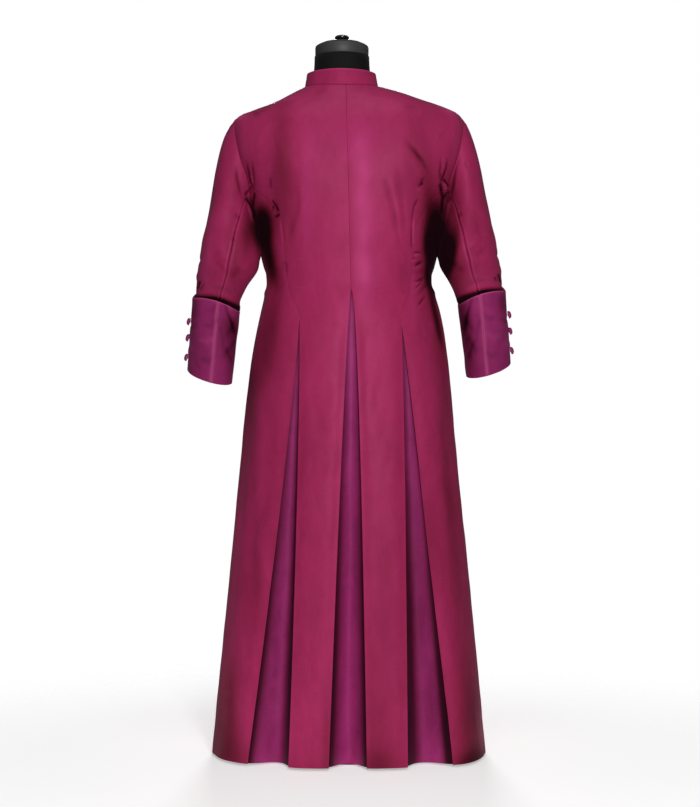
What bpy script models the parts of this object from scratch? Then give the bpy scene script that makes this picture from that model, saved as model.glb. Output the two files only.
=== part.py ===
"""A cassock with pleated back skirt and gauntlet cuffs, worn by a limbless dress form.

Units are metres and +Z is up. The wearer faces -Y, the wearer's left is +X, and the form's
round base stands on z = 0 with its middle at the origin. Every sewn piece is a closed wall
between an outer surface and the same points moved in by the thickness of the cloth.
"""
import math
from bisect import bisect_right
from functools import lru_cache
from types import SimpleNamespace

import bmesh
import bpy
from mathutils import Matrix, Vector

# ---------------------------------------------------------------- cloth and seams
CLOTH = 0.0018            # wall of the body, skirt and sleeves
CUFF_CLOTH = 0.0024       # the cuffs are turned back, so their wall is double
COLLAR_CLOTH = 0.0026     # the stand collar is a stiffened band
SEAM = 0.0003             # gap between two sewn pieces
STEP = 0.0005             # reach of the finite differences that give a surface its normal

# ---------------------------------------------------------------- body sections
# One row for each level, from the hem to the neck: its height at the sides, at the back and at
# the front, its half width, its depth to the back and to the front, the power of its rounded
# outline (2 is an ellipse) and where its middle lies.
SECTION_COLUMNS = ("level", "back_z", "front_z", "half_width", "back", "front", "round",
                   "centre_x")
SECTIONS = (
    (0.006, 0.006, 0.006, 0.2785, 0.182, 0.186, 2.35, 0.000),    # hem
    (0.067, 0.067, 0.067, 0.2727, 0.179, 0.182, 2.35, 0.000),
    (0.231, 0.231, 0.231, 0.2570, 0.171, 0.172, 2.35, 0.000),    # shin
    (0.395, 0.395, 0.395, 0.2410, 0.162, 0.161, 2.35, 0.000),    # knee
    (0.559, 0.559, 0.559, 0.2255, 0.153, 0.150, 2.35, 0.000),    # thigh
    (0.723, 0.723, 0.723, 0.2100, 0.143, 0.139, 2.35, -0.001),    # seat
    (0.834, 0.834, 0.834, 0.1965, 0.134, 0.129, 2.30, -0.002),    # hip
    (0.899, 0.899, 0.899, 0.1845, 0.125, 0.120, 2.25, -0.003),
    (0.932, 0.932, 0.932, 0.1760, 0.118, 0.114, 2.25, -0.002),
    (0.965, 0.965, 0.965, 0.1675, 0.111, 0.109, 2.25, 0.000),    # waist
    (0.998, 0.998, 0.998, 0.1760, 0.111, 0.111, 2.30, 0.000),
    (1.060, 1.060, 1.060, 0.1895, 0.115, 0.118, 2.40, 0.000),    # ribs
    (1.127, 1.127, 1.127, 0.2000, 0.119, 0.124, 2.50, 0.000),    # underarm
    (1.160, 1.157, 1.154, 0.2080, 0.120, 0.124, 2.70, 0.000),
    (1.218, 1.207, 1.195, 0.2310, 0.118, 0.121, 3.00, 0.000),    # middle of the armhole
    (1.275, 1.256, 1.238, 0.2385, 0.111, 0.112, 2.80, 0.000),
    (1.3095, 1.287, 1.264, 0.2275, 0.103, 0.103, 2.50, 0.000),   # shoulder point
    (1.3295, 1.312, 1.286, 0.1755, 0.092, 0.095, 2.35, -0.002),
    (1.3485, 1.337, 1.309, 0.1190, 0.078, 0.085, 2.20, 0.002),
    (1.3630, 1.3585, 1.331, 0.0755, 0.064, 0.075, 2.05, 0.0155),  # neck seam
)
HEM, UNDERARM, SHOULDER, NECK = 0.006, 1.127, 1.3095, 1.363

# Soft flutes of the skirt: angle round the body from its left side, height at which the
# flute dies out, how far it stands out at the hem, and its half width as an angle.
FLUTE_COLUMNS = ("angle", "top", "reach", "spread")
FLUTES = (
    (-152.0, 0.80, 0.010, 13.0),
    (-116.0, 0.62, 0.008, 11.0),
    (-66.0, 0.70, 0.009, 12.0),
    (-28.0, 0.84, 0.011, 13.0),
    (150.0, 0.55, 0.013, 12.0),
)

# ---------------------------------------------------------------- levels of the grids
SKIRT_LEVELS = (0.006, 0.080, 0.170, 0.270, 0.370, 0.470, 0.570, 0.670, 0.760, 0.834, 0.868,
                0.887)
BODICE_LEVELS = (0.910, 0.942, 0.965, 0.998, 1.029, 1.060, 1.094)
SHOULDER_LEVELS = (1.3195, 1.3315, 1.3430, 1.3540, 1.3630)
ARMHOLE_STEPS = 8                       # samples from the underarm to the shoulder point
ARMHOLE_BACK, ARMHOLE_FRONT = 0.056, 0.060   # how far the armhole reaches back and forward
PRINCESS_STEP = 2                       # the armhole sample where the princess seam starts

# ---------------------------------------------------------------- seams of the back
CENTRE_SEAM = ((1.363, 0.006), (0.942, -0.004))             # level, x
PRINCESS_COLUMNS = ("level", "x")                           # x from the middle of the body
PRINCESS = ((0.887, 0.0985), (0.910, 0.1080), (0.942, 0.1210), (0.998, 0.1290), (1.060, 0.1330),
            (1.094, 0.1460), (1.127, 0.1690), (1.1539, 0.2018))
SIDE_SEAM = ((0.006, 9.0), (0.80, 0.0))                     # level, degrees behind the side

# Inverted pleats of the skirt's back, as x positions: both edges start at the top point.
PLEAT_COLUMNS = ("name", "top", "top_x", "left_x", "left_bend", "right_x", "right_bend", "depth")
PLEATS = (
    ("centre", 0.942, -0.0040, 0.0395, 1.0, -0.0350, 1.0, 0.056),
    ("left", 0.887, 0.0985, 0.2035, 1.08, 0.1195, 2.0, 0.047),
    ("right", 0.887, -0.1010, -0.1130, 2.0, -0.2010, 1.08, 0.047),
)
PLEAT_UNDERLAP = 0.008    # how far an underlay reaches behind the panels beside it
PLEAT_SEAT = 0.0008       # gap between an underlay and the panel that it is sewn behind
PLEAT_HEAD = 0.030        # an underlay is sewn in up to this far above its pleat
BACK_COLUMNS, SIDE_BACK_COLUMNS, FRONT_COLUMNS, PLEAT_COLUMNS_ACROSS = 7, 6, 12, 9

# ---------------------------------------------------------------- front opening and collar
LAP = 0.016               # the left front passes the middle by this much
LAP_EASE = 0.022          # width over which the left front rises onto the right one
COLLAR_TOP = {"back": 1.3920, "side": 1.3905, "front": 1.3640}
COLLAR_TOP_SCALE = 0.935  # the band leans in
COLLAR_OPENING = 3.0      # half the gap at the throat, in degrees

# ---------------------------------------------------------------- sleeves
# Stations down the left sleeve: middle of the ring, half sizes across and front to back,
# roll (outer side up) and lean (wrist forward) in degrees, and the share of the cuff's shape.
STATION_COLUMNS = ("x", "y", "z", "across", "deep", "roll", "lean", "shaped", "back_seam")
STATIONS = (
    (0.2392, 0.014, 1.1075, 0.0452, 0.0530, 16.0, 0.0, 0.0, 119.0),
    (0.2405, 0.036, 1.0600, 0.0557, 0.0570, 9.0, 0.0, 0.0, 102.0),
    (0.2415, 0.040, 1.0300, 0.0617, 0.0590, 8.0, 2.0, 0.0, 96.0),
    (0.2425, 0.038, 1.0000, 0.0612, 0.0590, 8.0, 6.0, 0.0, 92.0),
    (0.2560, 0.020, 0.9560, 0.0572, 0.0560, 10.0, 11.0, 0.4, 97.0),
    (0.2645, 0.008, 0.9350, 0.0522, 0.0510, 14.0, 14.0, 1.0, 98.0),
    (0.2690, 0.004, 0.9250, 0.0435, 0.0440, 15.0, 15.0, 1.0, 98.0),
)
CUFF_STATIONS = (
    (0.2720, -0.0010, 0.9190, 0.0512, 0.0512, 16.0, 15.0, 1.0, 98.0),
    (0.2775, -0.0140, 0.8720, 0.0502, 0.0502, 16.0, 16.0, 0.6, 97.0),
    (0.2833, -0.0280, 0.8220, 0.0492, 0.0492, 16.5, 16.0, 0.2, 97.0),
    (0.2892, -0.0410, 0.7730, 0.0484, 0.0484, 17.0, 16.0, 0.0, 97.0),
)
FRONT_SEAM = 247.5        # angle of the sleeve's hidden front seam
ARMHOLE_BACK_SEAM = 157.5  # angle on the armhole where the back seam of the sleeve starts
RIM_RISE = 0.019          # the cuff's top edge is cut higher at the middle of its back
CAP_FULLNESS = 0.83       # how far the sleeve head swells above the arm
CAP_LEAN = {1: -0.130, -1: -0.160}   # the head's pull leans in, more so on the right
CAP_OUT = {1: 0.003, -1: 0.0}        # how far it swells outwards at the shoulder
CAP_RINGS = (0.0, 0.16, 0.34, 0.52, 0.70, 0.86)
CAP_NUDGE = 0.042         # share of a column that the pieces keep off their seam at the head
UNDERARM_LIP = 0.012      # the sleeve leaves the underarm outwards before it hangs
ARM_LIFT = {1: 0.0, -1: 0.014}   # the right forearm is carried a little higher
LIFT_SPAN = (1.05, 0.94)         # the lift grows from nothing to its full size
TOP_SLEEVE_COLUMNS, UNDER_SLEEVE_COLUMNS = 10, 7
SLEEVE_INSET = 0.006      # share by which the sleeve's first ring stays inside the armhole
SLEEVE_STAND = 0.0006     # how far that ring stands out from the armhole
SLEEVE_EASE = (0.0040, 0.0024, 0.0)   # room between sleeve and cuff, down to the cuff's foot

# ---------------------------------------------------------------- buttons
BUTTON_PROFILE = ((0.0030, 0.0), (0.0030, 0.0022), (0.0080, 0.0030), (0.0080, 0.0050),
                  (0.0048, 0.0078))                        # radius, height above the cloth
BUTTON_SIDES = 10
CUFF_BUTTON_DROPS = (0.34, 0.56, 0.83)   # share of the cuff's height below its top edge
CUFF_BUTTON_ANGLE = 6.0                  # a little behind the outermost line
FRONT_BUTTONS = 14
FRONT_BUTTON_LEVELS = (0.36, 1.335)      # lowest and highest front button

# ---------------------------------------------------------------- dress form
FORM_COLUMNS = ("level", "clearance")
FORM_CLEARANCE = ((0.76, 0.030), (0.80, 0.020), (0.90, 0.011), (1.00, 0.007), (1.127, 0.005),
                  (1.25, 0.004), (1.3095, 0.0019), (1.3540, 0.0013))
FORM_EASE = 0.0030        # extra clearance before and behind the ridge of the shoulders
FORM_BOTTOM, FORM_BOTTOM_ROUND = 0.76, 0.030
FORM_SHOULDER = 0.203     # the torso is cut flat here, where an arm would start
FORM_SIDES = 28
COLLAR_FOOT = ((0.004, 0.93), (0.002, 0.86))   # rings at the collar's foot: drop, share of it
NECK_X = 0.0145           # the neck stands a little to the wearer's left
NECK_RING_COLUMNS = ("height", "half_width", "half_depth")
NECK_RINGS = ((1.380, 0.0590, 0.0565), (1.396, 0.0575, 0.0560), (1.4265, 0.0560, 0.0555))
# The next two are turned profiles: radius, height.
CAP_PROFILE = ((0.0543, 1.4268), (0.0546, 1.4440), (0.0520, 1.4480), (0.0400, 1.4540),
               (0.0220, 1.4580))
KNOB_PROFILE = ((0.0090, 1.4583), (0.0100, 1.4610), (0.0146, 1.4630), (0.0148, 1.4660),
                (0.0110, 1.4695), (0.0050, 1.4710))
POLE_RADIUS = 0.0125
BASE_RADIUS, BASE_EDGE, BASE_CROWN, BASE_HUB = 0.115, 0.003, 0.008, 0.022
POLE_BOTTOM = 0.0203
ROUND_SIDES = 28

# ---------------------------------------------------------------- finishes
WINE = ("wine_cloth", (0.36, 0.03, 0.12), 0.55, 0.0)
PURPLE = ("purple_cloth", (0.20, 0.02, 0.11), 0.55, 0.0)
BUTTON = ("button_cloth", (0.38, 0.04, 0.20), 0.35, 0.0)
BLACK = ("form_black", (0.006, 0.006, 0.006), 0.60, 0.0)
BAND = ("form_band", (0.030, 0.033, 0.030), 0.50, 0.0)
GLOSS = ("form_gloss", (0.004, 0.004, 0.004), 0.15, 0.0)
METAL = ("form_metal", (0.05, 0.05, 0.05), 0.35, 1.0)


class Curves:
    """Named columns of a table, read at any level on curves that never overshoot its rows."""

    def __init__(self, columns, rows):
        self.levels = [row[0] for row in rows]
        self.columns = {name: [row[i] for row in rows] for i, name in enumerate(columns) if i}
        self.slopes = {name: self._slopes(values) for name, values in self.columns.items()}

    def _slopes(self, values):
        """Slope at each row: the harmonic mean of the slopes on either side of it."""
        steps = [(values[i + 1] - values[i]) / (self.levels[i + 1] - self.levels[i])
                 for i in range(len(values) - 1)]
        inner = [2.0 * a * b / (a + b) if a * b > 0.0 else 0.0
                 for a, b in zip(steps, steps[1:])]
        return [steps[0]] + inner + [steps[-1]]

    def at(self, level):
        """Every column at one level, as named values."""
        last = len(self.levels) - 2
        i = min(max(bisect_right(self.levels, level) - 1, 0), last)
        span = self.levels[i + 1] - self.levels[i]
        t = min(max((level - self.levels[i]) / span, 0.0), 1.0)
        near, far = (1 + 2 * t) * (1 - t) ** 2, t * t * (3 - 2 * t)
        leave, arrive = t * (1 - t) ** 2 * span, t * t * (t - 1) * span
        values = {}
        for name, column in self.columns.items():
            slope = self.slopes[name]
            values[name] = (near * column[i] + far * column[i + 1]
                            + leave * slope[i] + arrive * slope[i + 1])
        return SimpleNamespace(**values)


def named_rows(columns, rows):
    """Rows of a table as objects with named columns."""
    return [SimpleNamespace(**dict(zip(columns, row))) for row in rows]


def smooth(t):
    """A soft step from 0 to 1."""
    t = min(max(t, 0.0), 1.0)
    return t * t * (3.0 - 2.0 * t)


BODY = Curves(SECTION_COLUMNS, SECTIONS)
PRINCESS_CURVE = Curves(PRINCESS_COLUMNS, PRINCESS)
CLEARANCE_CURVE = Curves(FORM_COLUMNS, FORM_CLEARANCE)
FLUTE_ROWS = named_rows(FLUTE_COLUMNS, FLUTES)
PLEAT_ROWS = named_rows(PLEAT_COLUMNS, PLEATS)
STATION_ROWS = named_rows(STATION_COLUMNS, STATIONS)
CUFF_ROWS = named_rows(STATION_COLUMNS, CUFF_STATIONS)


# ================================================================ body surface
@lru_cache(maxsize=None)
def section(level):
    """The body's section at a level."""
    return BODY.at(level)


def flute(level, angle):
    """How far the skirt's soft flutes stand out at one place."""
    out = 0.0
    for row in FLUTE_ROWS:
        turn = (math.degrees(angle) - row.angle + 180.0) % 360.0 - 180.0
        rise = smooth((row.top - level) / (row.top - HEM))
        out += row.reach * rise * math.exp(-(turn / row.spread) ** 2)
    return out


def body_point(level, angle):
    """A point of the worn cassock's outer surface; the angle runs round from its left side."""
    s = section(level)
    c, n = math.cos(angle), math.sin(angle)
    depth, end_z = (s.back, s.back_z) if n >= 0.0 else (s.front, s.front_z)
    power = s.round
    radius = ((abs(c) / s.half_width) ** power + (abs(n) / depth) ** power) ** (-1.0 / power)
    radius += flute(level, angle)
    return Vector((s.centre_x + radius * c, radius * n, level + (end_z - level) * n * n))


def surface_normal(surface, u, v, u_range):
    """Unit normal of a surface of two values, pointing the way du x dv turns."""
    low, high = max(u - STEP, u_range[0]), min(u + STEP, u_range[1])
    du = surface(high, v) - surface(low, v)
    dv = surface(u, v + 2 * STEP) - surface(u, v - 2 * STEP)
    return du.cross(dv).normalized()


@lru_cache(maxsize=None)
def body_normal(level, angle):
    """Outward normal of the body's surface."""
    return -surface_normal(body_point, level, angle, (HEM, NECK))


def body_pair(level, angle, lift=0.0, cloth=CLOTH):
    """Outer and inner point of a wall that lies on the body's surface."""
    normal = body_normal(level, angle)
    outer = body_point(level, angle) + normal * lift
    return outer, outer - normal * cloth


def back_angle(level, x):
    """Angle of the point of the back that lies at x."""
    s = section(level)
    across = x - s.centre_x
    share = min(abs(across) / s.half_width, 1.0)
    y = s.back * (1.0 - share ** s.round) ** (1.0 / s.round)
    return math.atan2(y, across)


def mirrored(side, angle):
    """An angle for the wearer's left side (1) as it is on the given side."""
    return angle if side > 0 else math.pi - angle


def run_at(rows, level):
    """A value read along straight runs between rows of (level, value)."""
    rows = sorted(rows)
    for (low, first), (high, second) in zip(rows, rows[1:]):
        if level <= high:
            share = (level - low) / (high - low)
            return first + (second - first) * max(share, 0.0)
    return rows[-1][1]


def half_seam(level, angle):
    """Half a seam's gap, as an angle at one place of the body."""
    reach = (body_point(level, angle + STEP) - body_point(level, angle - STEP)).length
    return 0.5 * SEAM * 2.0 * STEP / reach


# ================================================================ seam lines
def armhole_phi(index):
    """Angle of an armhole sample: 0 at the shoulder point, 180 degrees at the underarm."""
    return math.pi * index / ARMHOLE_STEPS


def armhole_level(phi):
    """Level of the body at an angle round the armhole."""
    return UNDERARM + (SHOULDER - UNDERARM) * 0.5 * (1.0 + math.cos(phi))


def armhole_angle(side, phi, inset=0.0):
    """Angle on the body of the armhole's edge; 0 < phi < 180 degrees is its back."""
    level = armhole_level(phi)
    s = section(level)
    bow = abs(math.sin(phi)) ** 1.3
    behind = math.sin(phi) >= 0.0
    reach = (ARMHOLE_BACK if behind else ARMHOLE_FRONT) * bow * (1.0 - inset)
    depth = s.back if behind else s.front
    x = s.half_width * (1.0 - (reach / depth) ** s.round) ** (1.0 / s.round)
    angle = math.atan2(reach if behind else -reach, x)
    return mirrored(side, angle)


ARMHOLE_LEVELS = tuple(armhole_level(armhole_phi(ARMHOLE_STEPS - i))
                       for i in range(ARMHOLE_STEPS + 1))
PRINCESS_TOP = ARMHOLE_LEVELS[PRINCESS_STEP]
ALL_LEVELS = SKIRT_LEVELS + BODICE_LEVELS + ARMHOLE_LEVELS + SHOULDER_LEVELS


def armhole_edge(side, level, behind):
    """Armhole edge of a panel at one of the armhole's levels."""
    share = (level - UNDERARM) / (SHOULDER - UNDERARM)
    phi = math.acos(min(max(2.0 * share - 1.0, -1.0), 1.0))
    return armhole_angle(side, phi if behind else -phi)


def pleat_x(pleat, edge, level):
    """x of a pleat's left or right edge at a level."""
    hem_x, bend = (pleat.left_x, pleat.left_bend) if edge == "left" else (pleat.right_x,
                                                                          pleat.right_bend)
    share = min(max((pleat.top - level) / (pleat.top - HEM), 0.0), 1.0)
    return pleat.top_x + (hem_x - pleat.top_x) * share ** bend


def pleat_named(name):
    """The pleat of that name."""
    return next(row for row in PLEAT_ROWS if row.name == name)


def centre_edge(side, level):
    """Angle of a back panel's inner edge: the centre seam, or the centre pleat below it."""
    pleat = pleat_named("centre")
    x = (pleat_x(pleat, "left" if side > 0 else "right", level) if level < pleat.top
         else run_at(CENTRE_SEAM, level))
    return back_angle(level, x)


def princess_angle(side, level):
    """Angle of the princess seam."""
    return back_angle(level, section(level).centre_x + side * PRINCESS_CURVE.at(level).x)


def back_outer_edge(side, level):
    """Outer edge of a back panel: pleat, princess seam, armhole, then shoulder seam."""
    pleat = pleat_named("left" if side > 0 else "right")
    if level < pleat.top:
        return back_angle(level, pleat_x(pleat, "right" if side > 0 else "left", level))
    if level <= PRINCESS_TOP:
        return princess_angle(side, level)
    return armhole_edge(side, level, True) if level <= SHOULDER else mirrored(side, 0.0)


def side_back_inner_edge(side, level):
    """Inner edge of a side-back panel: the side pleat, then the princess seam."""
    pleat = pleat_named("left" if side > 0 else "right")
    if level < pleat.top:
        return back_angle(level, pleat_x(pleat, "left" if side > 0 else "right", level))
    return princess_angle(side, level)


def side_edge(side, level):
    """Angle of the side seam, which drifts to the back towards the hem."""
    return mirrored(side, math.radians(run_at(SIDE_SEAM, level)))


def side_back_outer_edge(side, level):
    """Outer edge of a side-back panel: the side seam, then the armhole."""
    return armhole_edge(side, level, True) if level > UNDERARM else side_edge(side, level)


def front_outer_edge(side, level):
    """Outer edge of a front: the side seam, the armhole, then the shoulder seam."""
    if level <= UNDERARM:
        return side_edge(side, level)
    return armhole_edge(side, level, False) if level <= SHOULDER else mirrored(side, 0.0)


def is_armhole(level):
    """Whether a level lies on the open armhole, whose edge keeps no seam gap of its own."""
    return UNDERARM < level < SHOULDER - 1e-6


# ================================================================ mesh building
def finish_of(spec):
    """The named material, made once."""
    name, colour, roughness, metallic = spec
    found = bpy.data.materials.get(name)
    if found:
        return found
    material = bpy.data.materials.new(name)
    material.use_nodes = True
    shader = material.node_tree.nodes["Principled BSDF"]
    shader.inputs["Base Color"].default_value = (*colour, 1.0)
    shader.inputs["Roughness"].default_value = roughness
    shader.inputs["Metallic"].default_value = metallic
    return material


def add_object(name, mesh_edit, finish):
    """Turn a bmesh into a named object with its faces pointing out."""
    bmesh.ops.recalc_face_normals(mesh_edit, faces=mesh_edit.faces)
    mesh = bpy.data.meshes.new(name)
    mesh_edit.to_mesh(mesh)
    mesh_edit.free()
    mesh.shade_smooth()
    mesh.set_sharp_from_angle(angle=math.radians(40.0))
    made = bpy.data.objects.new(name, mesh)
    made.data.materials.append(finish_of(finish))
    bpy.context.scene.collection.objects.link(made)
    return made


def add_wall(name, rows, finish):
    """Close a wall from rows of (outer, inner) points; each row has the same number."""
    edit = bmesh.new()
    outer = [[edit.verts.new(pair[0]) for pair in row] for row in rows]
    inner = [[edit.verts.new(pair[1]) for pair in row] for row in rows]
    last_row, last_column = len(rows) - 1, len(rows[0]) - 1
    for i in range(last_row):
        for j in range(last_column):
            edit.faces.new((outer[i][j], outer[i][j + 1], outer[i + 1][j + 1], outer[i + 1][j]))
            edit.faces.new((inner[i + 1][j], inner[i + 1][j + 1], inner[i][j + 1], inner[i][j]))
        for j in (0, last_column):
            edit.faces.new((outer[i][j], outer[i + 1][j], inner[i + 1][j], inner[i][j]))
    for j in range(last_column):
        for i in (0, last_row):
            edit.faces.new((outer[i][j], outer[i][j + 1], inner[i][j + 1], inner[i][j]))
    return add_object(name, edit, finish)


def add_stack(name, rings, finish):
    """Close a solid from rings of points, one above the other, with flat ends."""
    edit = bmesh.new()
    loops = [[edit.verts.new(point) for point in ring] for ring in rings]
    count = len(loops[0])
    for low, high in zip(loops, loops[1:]):
        for j in range(count):
            k = (j + 1) % count
            edit.faces.new((low[j], low[k], high[k], high[j]))
    edit.faces.new(loops[0])
    edit.faces.new(loops[-1])
    return add_object(name, edit, finish)


def add_turned(name, profile, centre_x, finish, sides=ROUND_SIDES):
    """Close a turned solid from (radius, z) pairs round an upright axis."""
    rings = []
    for radius, z in profile:
        turns = [2.0 * math.pi * k / sides for k in range(sides)]
        rings.append([Vector((centre_x + radius * math.cos(a), radius * math.sin(a), z))
                      for a in turns])
    return add_stack(name, rings, finish)


# ================================================================ body panels
def panel_rows(levels, inner_edge, outer_edge, columns, side, lift=None):
    """Rows of a panel's wall between two edges given as angles at each level."""
    rows = []
    for level in levels:
        start, end = inner_edge(side, level), outer_edge(side, level)
        if side < 0 and start < 0.0 < end:
            start += 2.0 * math.pi
        way = 1.0 if end > start else -1.0
        start += way * half_seam(level, start)
        if not is_armhole(level):
            end -= way * half_seam(level, end)
        row = []
        for j in range(columns + 1):
            angle = start + (end - start) * j / columns
            row.append(body_pair(level, angle, lift(level, angle) if lift else 0.0))
        rows.append(row)
    return rows


def make_backs():
    """The centre-back and side-back panels of both sides."""
    side_levels = [level for level in ALL_LEVELS if level <= PRINCESS_TOP + 1e-9]
    for side, word in ((1, "left"), (-1, "right")):
        add_wall(f"back_{word}",
                 panel_rows(ALL_LEVELS, centre_edge, back_outer_edge, BACK_COLUMNS, side), WINE)
        add_wall(f"side_back_{word}",
                 panel_rows(side_levels, side_back_inner_edge, side_back_outer_edge,
                            SIDE_BACK_COLUMNS, side), WINE)


def front_x(level, angle):
    """x of a point of the front, measured from the middle of the body."""
    return body_point(level, angle).x - section(level).centre_x


def front_angle(level, x):
    """Angle of the point of the front that lies at x from the body's middle."""
    s = section(level)
    share = min(abs(x) / s.half_width, 1.0)
    y = s.front * (1.0 - share ** s.round) ** (1.0 / s.round)
    return math.atan2(-y, x)


def left_lift(level, angle):
    """How far the left front stands off, where it laps over the right one."""
    return (CLOTH + SEAM + 0.0006) * smooth((LAP + LAP_EASE - front_x(level, angle)) / LAP_EASE)


def front_inner_edge(side, level):
    """Front edges: the left one passes the middle and lies over the right one."""
    return front_angle(level, -LAP)


def under_front_edge(side, level):
    """The right front's edge, hidden behind the left one."""
    return front_angle(level, LAP)


def make_fronts():
    """The two fronts, lapped left over right."""
    add_wall("front_left",
             panel_rows(ALL_LEVELS, front_inner_edge, front_outer_edge, FRONT_COLUMNS, 1,
                        left_lift), WINE)
    add_wall("front_right",
             panel_rows(ALL_LEVELS, under_front_edge, wrapped_front_edge, FRONT_COLUMNS, 1), WINE)


def wrapped_front_edge(side, level):
    """Outer edge of the right front, as a negative angle that runs on from the left one."""
    return front_outer_edge(-1, level) - 2.0 * math.pi


def make_pleats():
    """The three underlays, each a trough behind the panels beside it."""
    for pleat in PLEAT_ROWS:
        levels = [level for level in ALL_LEVELS if level <= pleat.top + PLEAT_HEAD]
        steps = [0.5 - 0.5 * math.cos(math.pi * k / PLEAT_COLUMNS_ACROSS)
                 for k in range(PLEAT_COLUMNS_ACROSS + 1)]

        def trough(level, share, pleat=pleat):
            left, right = pleat_x(pleat, "left", level), pleat_x(pleat, "right", level)
            start, end = left + PLEAT_UNDERLAP, right - PLEAT_UNDERLAP
            angle = back_angle(level, start + (end - start) * share)
            down = min(max((pleat.top - level) / (pleat.top - HEM), 0.0), 1.0)
            bow = math.sin(math.pi * min(max(share, 0.0), 1.0)) ** 1.3
            seat = CLOTH + PLEAT_SEAT + pleat.depth * down * bow
            return body_point(level, angle) - body_normal(level, angle) * seat

        rows = []
        for level in levels:
            row = []
            for share in steps:
                normal = surface_normal(trough, level, share, (HEM, NECK))
                outward = normal if normal.dot(body_normal(level, math.pi / 2)) > 0 else -normal
                outer = trough(level, share)
                row.append((outer, outer - outward * CLOTH))
            rows.append(row)
        add_wall(f"pleat_{pleat.name}", rows, PURPLE)


def make_collar():
    """The stand collar, a band from one side of the throat round to the other."""
    columns, heights = 26, (0.0, 0.35, 0.70, 1.0)
    opening = math.radians(COLLAR_OPENING)
    start, end = -0.5 * math.pi + opening, 1.5 * math.pi - opening
    centre = section(NECK).centre_x
    rows = []
    for height in heights:
        row = []
        for j in range(columns + 1):
            angle = start + (end - start) * j / columns
            foot = body_point(NECK, angle)
            n = math.sin(angle)
            top_z = COLLAR_TOP["side"] + (COLLAR_TOP["back" if n > 0 else "front"]
                                          - COLLAR_TOP["side"]) * n * n
            scale = 1.0 + (COLLAR_TOP_SCALE - 1.0) * height
            outward = Vector((foot.x - centre, foot.y, 0.0))
            z = foot.z + SEAM + (top_z - foot.z) * height
            outer = Vector((centre, 0.0, z)) + outward * scale
            row.append((outer, outer - outward.normalized() * COLLAR_CLOTH))
        rows.append(row)
    add_wall("collar", rows, WINE)


# ================================================================ sleeves and cuffs
def armhole_chord(side, phi):
    """A point of the sleeve's first ring, on the chords between the armhole's samples."""
    step = math.pi / ARMHOLE_STEPS
    first = math.floor(phi / step)
    ends = []
    for index in (first, first + 1):
        turned = (index * step + math.pi) % (2.0 * math.pi) - math.pi
        middle = 0.5 * (UNDERARM + SHOULDER)
        level = middle + (armhole_level(turned) - middle) * (1.0 - SLEEVE_INSET)
        ends.append(body_point(level, armhole_angle(side, turned, SLEEVE_INSET)))
    return ends[0].lerp(ends[1], phi / step - first) + Vector((side * SLEEVE_STAND, 0.0, 0.0))


def ring_point(side, station, phi, out=0.0):
    """A point of a ring round the arm; phi is 0 outside, 90 degrees behind."""
    roll, lean = math.radians(station.roll), math.radians(station.lean)
    across = Vector((math.cos(roll), 0.0, math.sin(roll)))
    deep = Vector((0.0, math.cos(lean), -math.sin(lean)))
    rise = RIM_RISE * station.shaped * abs(math.sin(phi)) ** 1.5
    point = (Vector((station.x, station.y, station.z + rise))
             + across * ((station.across + out) * math.cos(phi))
             + deep * ((station.deep + out) * math.sin(phi)))
    high, low = LIFT_SPAN
    point.z += ARM_LIFT[side] * smooth((high - station.z) / (high - low))
    return Vector((side * point.x, point.y, point.z))


def ring_pair(side, station, phi, cloth):
    """Outer and inner point of a wall on a ring round the arm."""
    return ring_point(side, station, phi), ring_point(side, station, phi, -cloth)


def cap_point(side, is_top, column, columns, t):
    """A point of the sleeve head's outer surface, on a curve from the armhole to the arm."""
    phi_arm = seam_angles(STATION_ROWS[0].back_seam, is_top, column, columns)
    hole = armhole_chord(side, seam_angles(ARMHOLE_BACK_SEAM, is_top, column, columns))
    arm = ring_point(side, STATION_ROWS[0], phi_arm)
    outside = 0.5 + 0.5 * math.cos(phi_arm)
    up = Vector((CAP_LEAN[side] * side, 0.0, 0.995)) * CAP_FULLNESS * math.sqrt(outside)
    out = side * (CAP_OUT[side] * outside + UNDERARM_LIP * (1.0 - outside) ** 4)
    bend = (hole.lerp(arm, 0.5 + 0.5 * math.sqrt(outside)) + up * (arm - hole).length
            + Vector((out, 0.0, 0.0)))
    return hole * (1 - t) ** 2 + bend * (2 * t * (1 - t)) + arm * t * t


def cap_pair(side, is_top, column, columns, t):
    """Outer and inner point of the sleeve head's wall."""
    step = 0.02
    across = (cap_point(side, is_top, column + step, columns, t)
              - cap_point(side, is_top, column - step, columns, t))
    down = (cap_point(side, is_top, column, columns, t + step)
            - cap_point(side, is_top, column, columns, max(t - step, 0.0)))
    outer = cap_point(side, is_top, column, columns, t)
    return outer, outer + across.cross(down).normalized() * (CLOTH * side)


def sleeve_inside_cuff():
    """The sleeve's stations inside the cuff; the last one is sewn to the cuff's foot."""
    stations = []
    for cuff, ease in zip(CUFF_ROWS[1:], SLEEVE_EASE):
        less = CUFF_CLOTH + SEAM + ease
        stations.append(SimpleNamespace(**{**vars(cuff), "across": cuff.across - less,
                                           "deep": cuff.deep - less}))
    return stations


def seam_angles(back_seam, top_piece, j, columns):
    """Angle of a column of the top or under sleeve on a ring with that back seam."""
    start, end = ((FRONT_SEAM - 360.0, back_seam) if top_piece else (back_seam, FRONT_SEAM))
    return math.radians(start + (end - start) * j / columns)


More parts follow.
